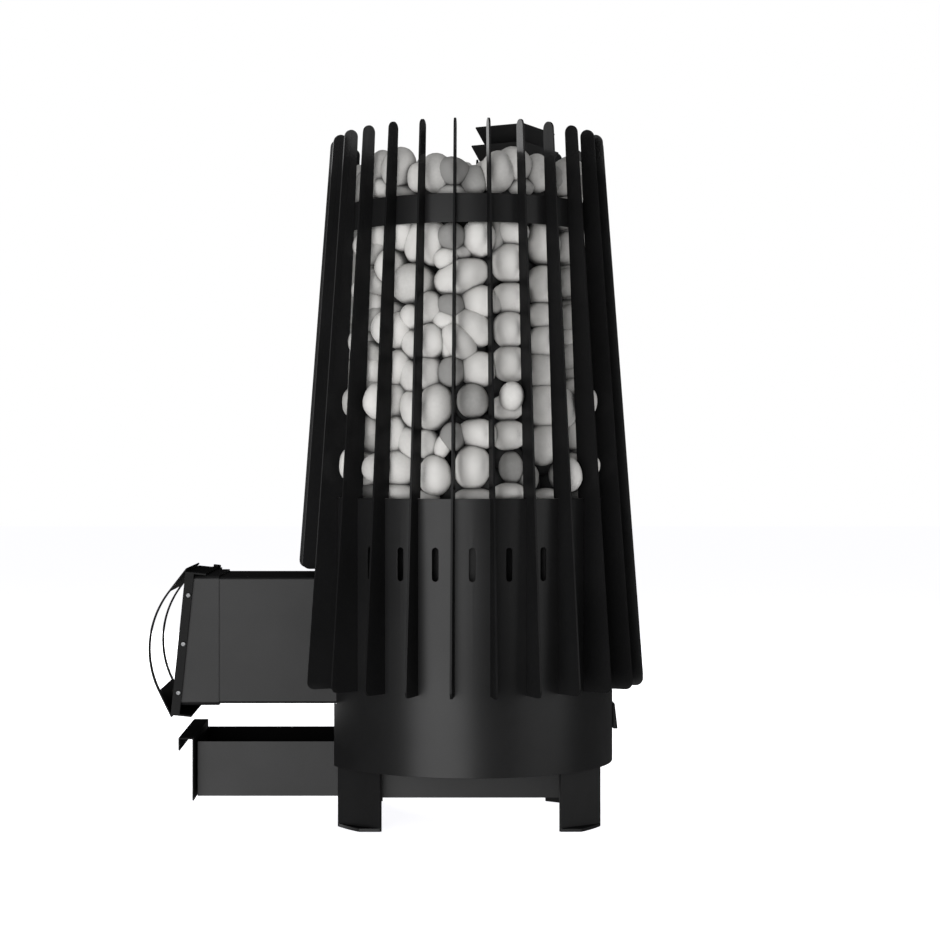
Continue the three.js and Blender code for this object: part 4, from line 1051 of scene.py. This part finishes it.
screw = cross_head_screw()
spots = [(side, step) for side in (-1, 1) for step in (-1, 0, 1)]
for number, (side, step) in enumerate(spots, start=1):
    copied = copy_of(screw, f"cross_head_screw_{number}")
    outwards = Matrix.Rotation(math.radians(-90 * side), 4, "X")
    spot = Vector((SCREW_X, side * (door_width / 2 + SEAT), door_middle + step * SCREW_PITCH))
    twist = Matrix.Rotation(number * GOLDEN_TURN, 4, "Z")
    copied.data.transform(Matrix.Translation(spot) @ outwards @ twist)
    lean_back(copied)
    dress(copied, zinc_plate, "zinc", "door", f"door_screw_{number}")
bpy.data.objects.remove(screw)

# Hinge pin: a long zinc-plated pin with a flat head, dropped through the door's ears and the collar's lugs.
# It was painted over with the door.
PIN_SPOT = (24 * MM, 95 * MM)
PIN_RADIUS = 3 * MM
PIN_HEAD = (5 * MM, 3 * MM)
PIN_REACH = (-3 * MM, 181.3 * MM)
PIN_EDGE = 0.6 * MM
pin_low, pin_high = PIN_REACH
head_radius, head_height = PIN_HEAD
pin = round_bar("door_pin", PIN_RADIUS, pin_high - pin_low, (*PIN_SPOT, (pin_low + pin_high) / 2))
pick(pin, "FACE", lambda middle, normal: normal.z > ALONG)
extrude(0, 0, 0)
grow = head_radius / PIN_RADIUS
bpy.ops.transform.resize(value=(grow, grow, 1), center_override=(*PIN_SPOT, pin_high))
extrude(0, 0, head_height)
leave_edit()
round_edges(pin, PIN_EDGE, segments=3)
lean_back(pin)
dress(pin, black_paint, "zinc", "stove", "hinge_pin")

# Guard: a bowed sheet with a wide window, welded to the leaf's top and bottom edges.
# It keeps hands off the hot door and is pulled to open it.
GUARD_WIDTH = 162 * MM
GUARD_RAIL = 11 * MM
GUARD_SHEET = 2 * MM
GUARD_BOW = 38 * MM
GUARD_HALF_ARC = math.radians(32)
GUARD_RADIUS = 119.99 * MM
GUARD_STEPS = 24
guard_centre = (GUARD_RADIUS - GUARD_BOW, 0, door_middle)
arc_end_x = GUARD_RADIUS * (1 - math.cos(GUARD_HALF_ARC)) - GUARD_BOW
arc_end_rise = GUARD_RADIUS * math.sin(GUARD_HALF_ARC)
foot_run = -SEAT - arc_end_x
foot_rise = foot_run / math.tan(GUARD_HALF_ARC)
guard = sheet(
    "bowed_guard",
    (arc_end_x + foot_run / 2, 0, door_middle - arc_end_rise - foot_rise / 2),
    (0, math.pi / 2 - GUARD_HALF_ARC, 0),
    math.hypot(foot_run, foot_rise),
    GUARD_WIDTH,
)
for rail_y in (-GUARD_WIDTH / 2 + GUARD_RAIL, GUARD_WIDTH / 2 - GUARD_RAIL):
    pick_all(guard)
    bpy.ops.mesh.bisect(plane_co=(0, rail_y, 0), plane_no=(0, 1, 0))
    leave_edit()
pick(guard, "EDGE", lambda a, b: max(a.x, b.x) < arc_end_x + SEAT)
bpy.ops.mesh.spin(steps=GUARD_STEPS, angle=-2 * GUARD_HALF_ARC, center=guard_centre, axis=(0, 1, 0))
extrude(foot_run, 0, foot_rise)
bpy.ops.mesh.select_all(action="SELECT")
bpy.ops.mesh.remove_doubles(threshold=WELDED)
bpy.ops.mesh.normals_make_consistent(inside=False)
leave_edit()
drop_faces(
    guard,
    lambda middle, normal: abs(middle.y) < GUARD_WIDTH / 2 - GUARD_RAIL
    and abs(middle.z - door_middle) < arc_end_rise,
)
thicken(guard, GUARD_SHEET)
round_edges(guard, CUT_EDGE)
lean_back(guard)
dress(guard, door_paint, "black_paint", "door", "door_guard")

# Ash drawer: an open box folded from thin grey-black steel that slides in the channel.
# Its inside is given a dead black with almost no sheen.
DRAWER_WALL = 1.5 * MM
inside_black = heat_paint("inside_black", shade=0.004, gloss=0.02)
drawer = block("ash_box", drawer_low, drawer_high)
drop_faces(drawer, lambda middle, normal: normal.z > ALONG)
thicken(drawer, DRAWER_WALL)
round_edges(drawer, CUT_EDGE)
# The drawer's paint is the tunnel's given a little more sheen, painted light where less light reaches it low
# down.
drawer_paint = heat_paint("drawer_paint", shade=0.0105, gloss=0.45)
dress(drawer, drawer_paint, "grey_paint", "drawer", "ash_drawer")
inner_low = drawer_low + Vector((1, 1, 1)) * DRAWER_WALL / 2
inner_high = drawer_high - Vector((1, 1, 0)) * DRAWER_WALL / 2
pick(
    drawer,
    "FACE",
    lambda middle, normal: all(a < b < c for a, b, c in zip(inner_low, middle, inner_high)),
)
drawer.data.materials.append(inside_black)
drawer.active_material_index = 1
bpy.ops.object.material_slot_assign()
leave_edit()

# Drawer front: one 2 mm sheet, wider than the box and spot-welded to it, painted like the door.
# Its top is folded over into a pull with a lip.
FRONT_SHEET = 2 * MM
PULL_REACH = 19.5 * MM
PULL_LIP = 16 * MM
low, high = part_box("drawer_front")
front_x = low.x + PULL_REACH
middle = (front_x, (low.y + high.y) / 2, (low.z + high.z) / 2)
front = sheet("front_sheet", middle, (0, math.pi / 2, 0), high.z - low.z, high.y - low.y)
pick(front, "EDGE", lambda a, b: min(a.z, b.z) > high.z - MM)
extrude(low.x - front_x, 0, 0)
extrude(0, 0, -PULL_LIP)
bpy.ops.mesh.select_all(action="SELECT")
bpy.ops.mesh.normals_make_consistent(inside=False)
leave_edit()
thicken(front, FRONT_SHEET)
round_edges(front, CUT_EDGE)
dress(front, door_paint, "black_paint", "drawer", "drawer_front")

# Rear bracket: a small plate with one hole on the casing's back, for tying the stove to a wall or a shield.
# It is forged thinner towards its top, where it lies against the casing.
BRACKET_SLOPE = math.radians(6.5)
BRACKET_EDGE = 0.8 * MM
low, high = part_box("rear_bracket")
bracket = rounded_copy("rear_bracket", BRACKET_EDGE)
pick(bracket, "VERT", lambda point: point.x > (low.x + high.x) / 2)
bpy.ops.transform.rotate(
    value=BRACKET_SLOPE, orient_axis="Y", center_override=(high.x, (low.y + high.y) / 2, low.z)
)
leave_edit()
dress(bracket, black_paint, "black_paint", "stove", "rear_bracket")

# Floor and light: a wide white floor in a white room, under six large soft lights.
# The strongest stands low beside the camera and weaker ones stand round the stove.
# Three of them only lift the shadows, so they leave no gleam in the paint.
FLOOR_SIZE = 30.0
FLOOR_COLOUR = (0.85, 0.85, 0.85, 1)
FLOOR_SEEN = 0.9
bpy.ops.object.select_all(action="DESELECT")
bpy.ops.mesh.primitive_plane_add(size=FLOOR_SIZE, location=(0, 0, 0))
floor = bpy.context.object
floor.name = "floor"
floor.visible_shadow = False
floor.visible_glossy = False
white, ground = new_finish(
    "white_floor", Base_Color=FLOOR_COLOUR, Roughness=0.9, Specular_IOR_Level=0.0, Emission_Strength=1.0
)
connect(white, {"Emission Color": ground.ray("Is Camera Ray").mixed(grey(0.0), grey(FLOOR_SEEN))})
floor.data.materials.append(white)

AROUND = 0.1
BACKDROP_SIDE = (-0.45, 0.89, 0)
BACKDROP_EDGE = (0.75, 0.95)
world = bpy.data.worlds.new("white_room")
bpy.context.scene.world = world
world.use_nodes = True
room = Surface(world.node_tree)
looking = room.node("ShaderNodeTexCoord", {}, {}, "Generated")
backdrop = looking.vector_math("DOT_PRODUCT", BACKDROP_SIDE, "Value").between(*BACKDROP_EDGE)
direct = room.math("MAXIMUM", room.ray("Is Camera Ray"), room.ray("Is Transmission Ray"))
shown = room.math("MAXIMUM", direct, room.ray("Is Glossy Ray") * backdrop)
level = AROUND + (1 - AROUND) * shown
background = world.node_tree.nodes["Background"]
background.inputs["Color"].default_value = (1, 1, 1, 1)
world.node_tree.links.new(level.socket, background.inputs["Strength"])

for name, place, aim_z, size, power, gleams in (
    ("front_light", (-0.975, -2.7, 0.05), 0.3, (2.3, 2.4), 74, True),
    ("right_light", (2.6, -1.6, 0.6), 0.4, (2.4, 2.0), 19, True),
    ("left_light", (-2.4, 1.7, 0.5), 0.4, (3.0, 3.0), 20, True),
    ("back_light", (-1.5, 2.6, 0.7), 0.5, (2.0, 2.0), 66, False),
    ("rear_light", (2.4, 1.7, 0.6), 0.5, (2.0, 2.0), 45, False),
    ("top_light", (0.088, 0.3, 2.8), 0.8, (2.0, 2.0), 12, False),
):
    data = bpy.data.lights.new(name, "AREA")
    data.shape = "RECTANGLE"
    data.size, data.size_y = size
    data.energy = power
    light = bpy.data.objects.new(name, data)
    bpy.context.scene.collection.objects.link(light)
    light.location = place
    light.rotation_mode = "QUATERNION"
    light.rotation_quaternion = (Vector((axis[0], 0, aim_z)) - Vector(place)).to_track_quat("-Z", "Y")
    light.visible_camera = False
    light.visible_glossy = gleams

# Camera: level with the middle of the stove and square to its side, as a catalogue picture is taken.
# It stands a little towards the door, and the picture is cut so that the stove is in the middle.
PHOTO_SIDE = 940
SENSOR_WIDTH = 36
camera_data = bpy.data.cameras.new("camera")
camera_data.sensor_width = SENSOR_WIDTH
camera_data.lens = SENSOR_WIDTH * -CAMERA_PLACE.y / (PHOTO_SIDE * PIXEL)
camera_data.shift_x = 0.5 - MIDDLE_PIXEL[0] / PHOTO_SIDE
camera_data.shift_y = MIDDLE_PIXEL[1] / PHOTO_SIDE - 0.5
camera = bpy.data.objects.new("camera", camera_data)
bpy.context.scene.collection.objects.link(camera)
camera.location = CAMERA_PLACE
camera.rotation_euler = (math.radians(90), 0, 0)
bpy.context.scene.camera = camera
bpy.context.scene.view_settings.view_transform = "Standard"
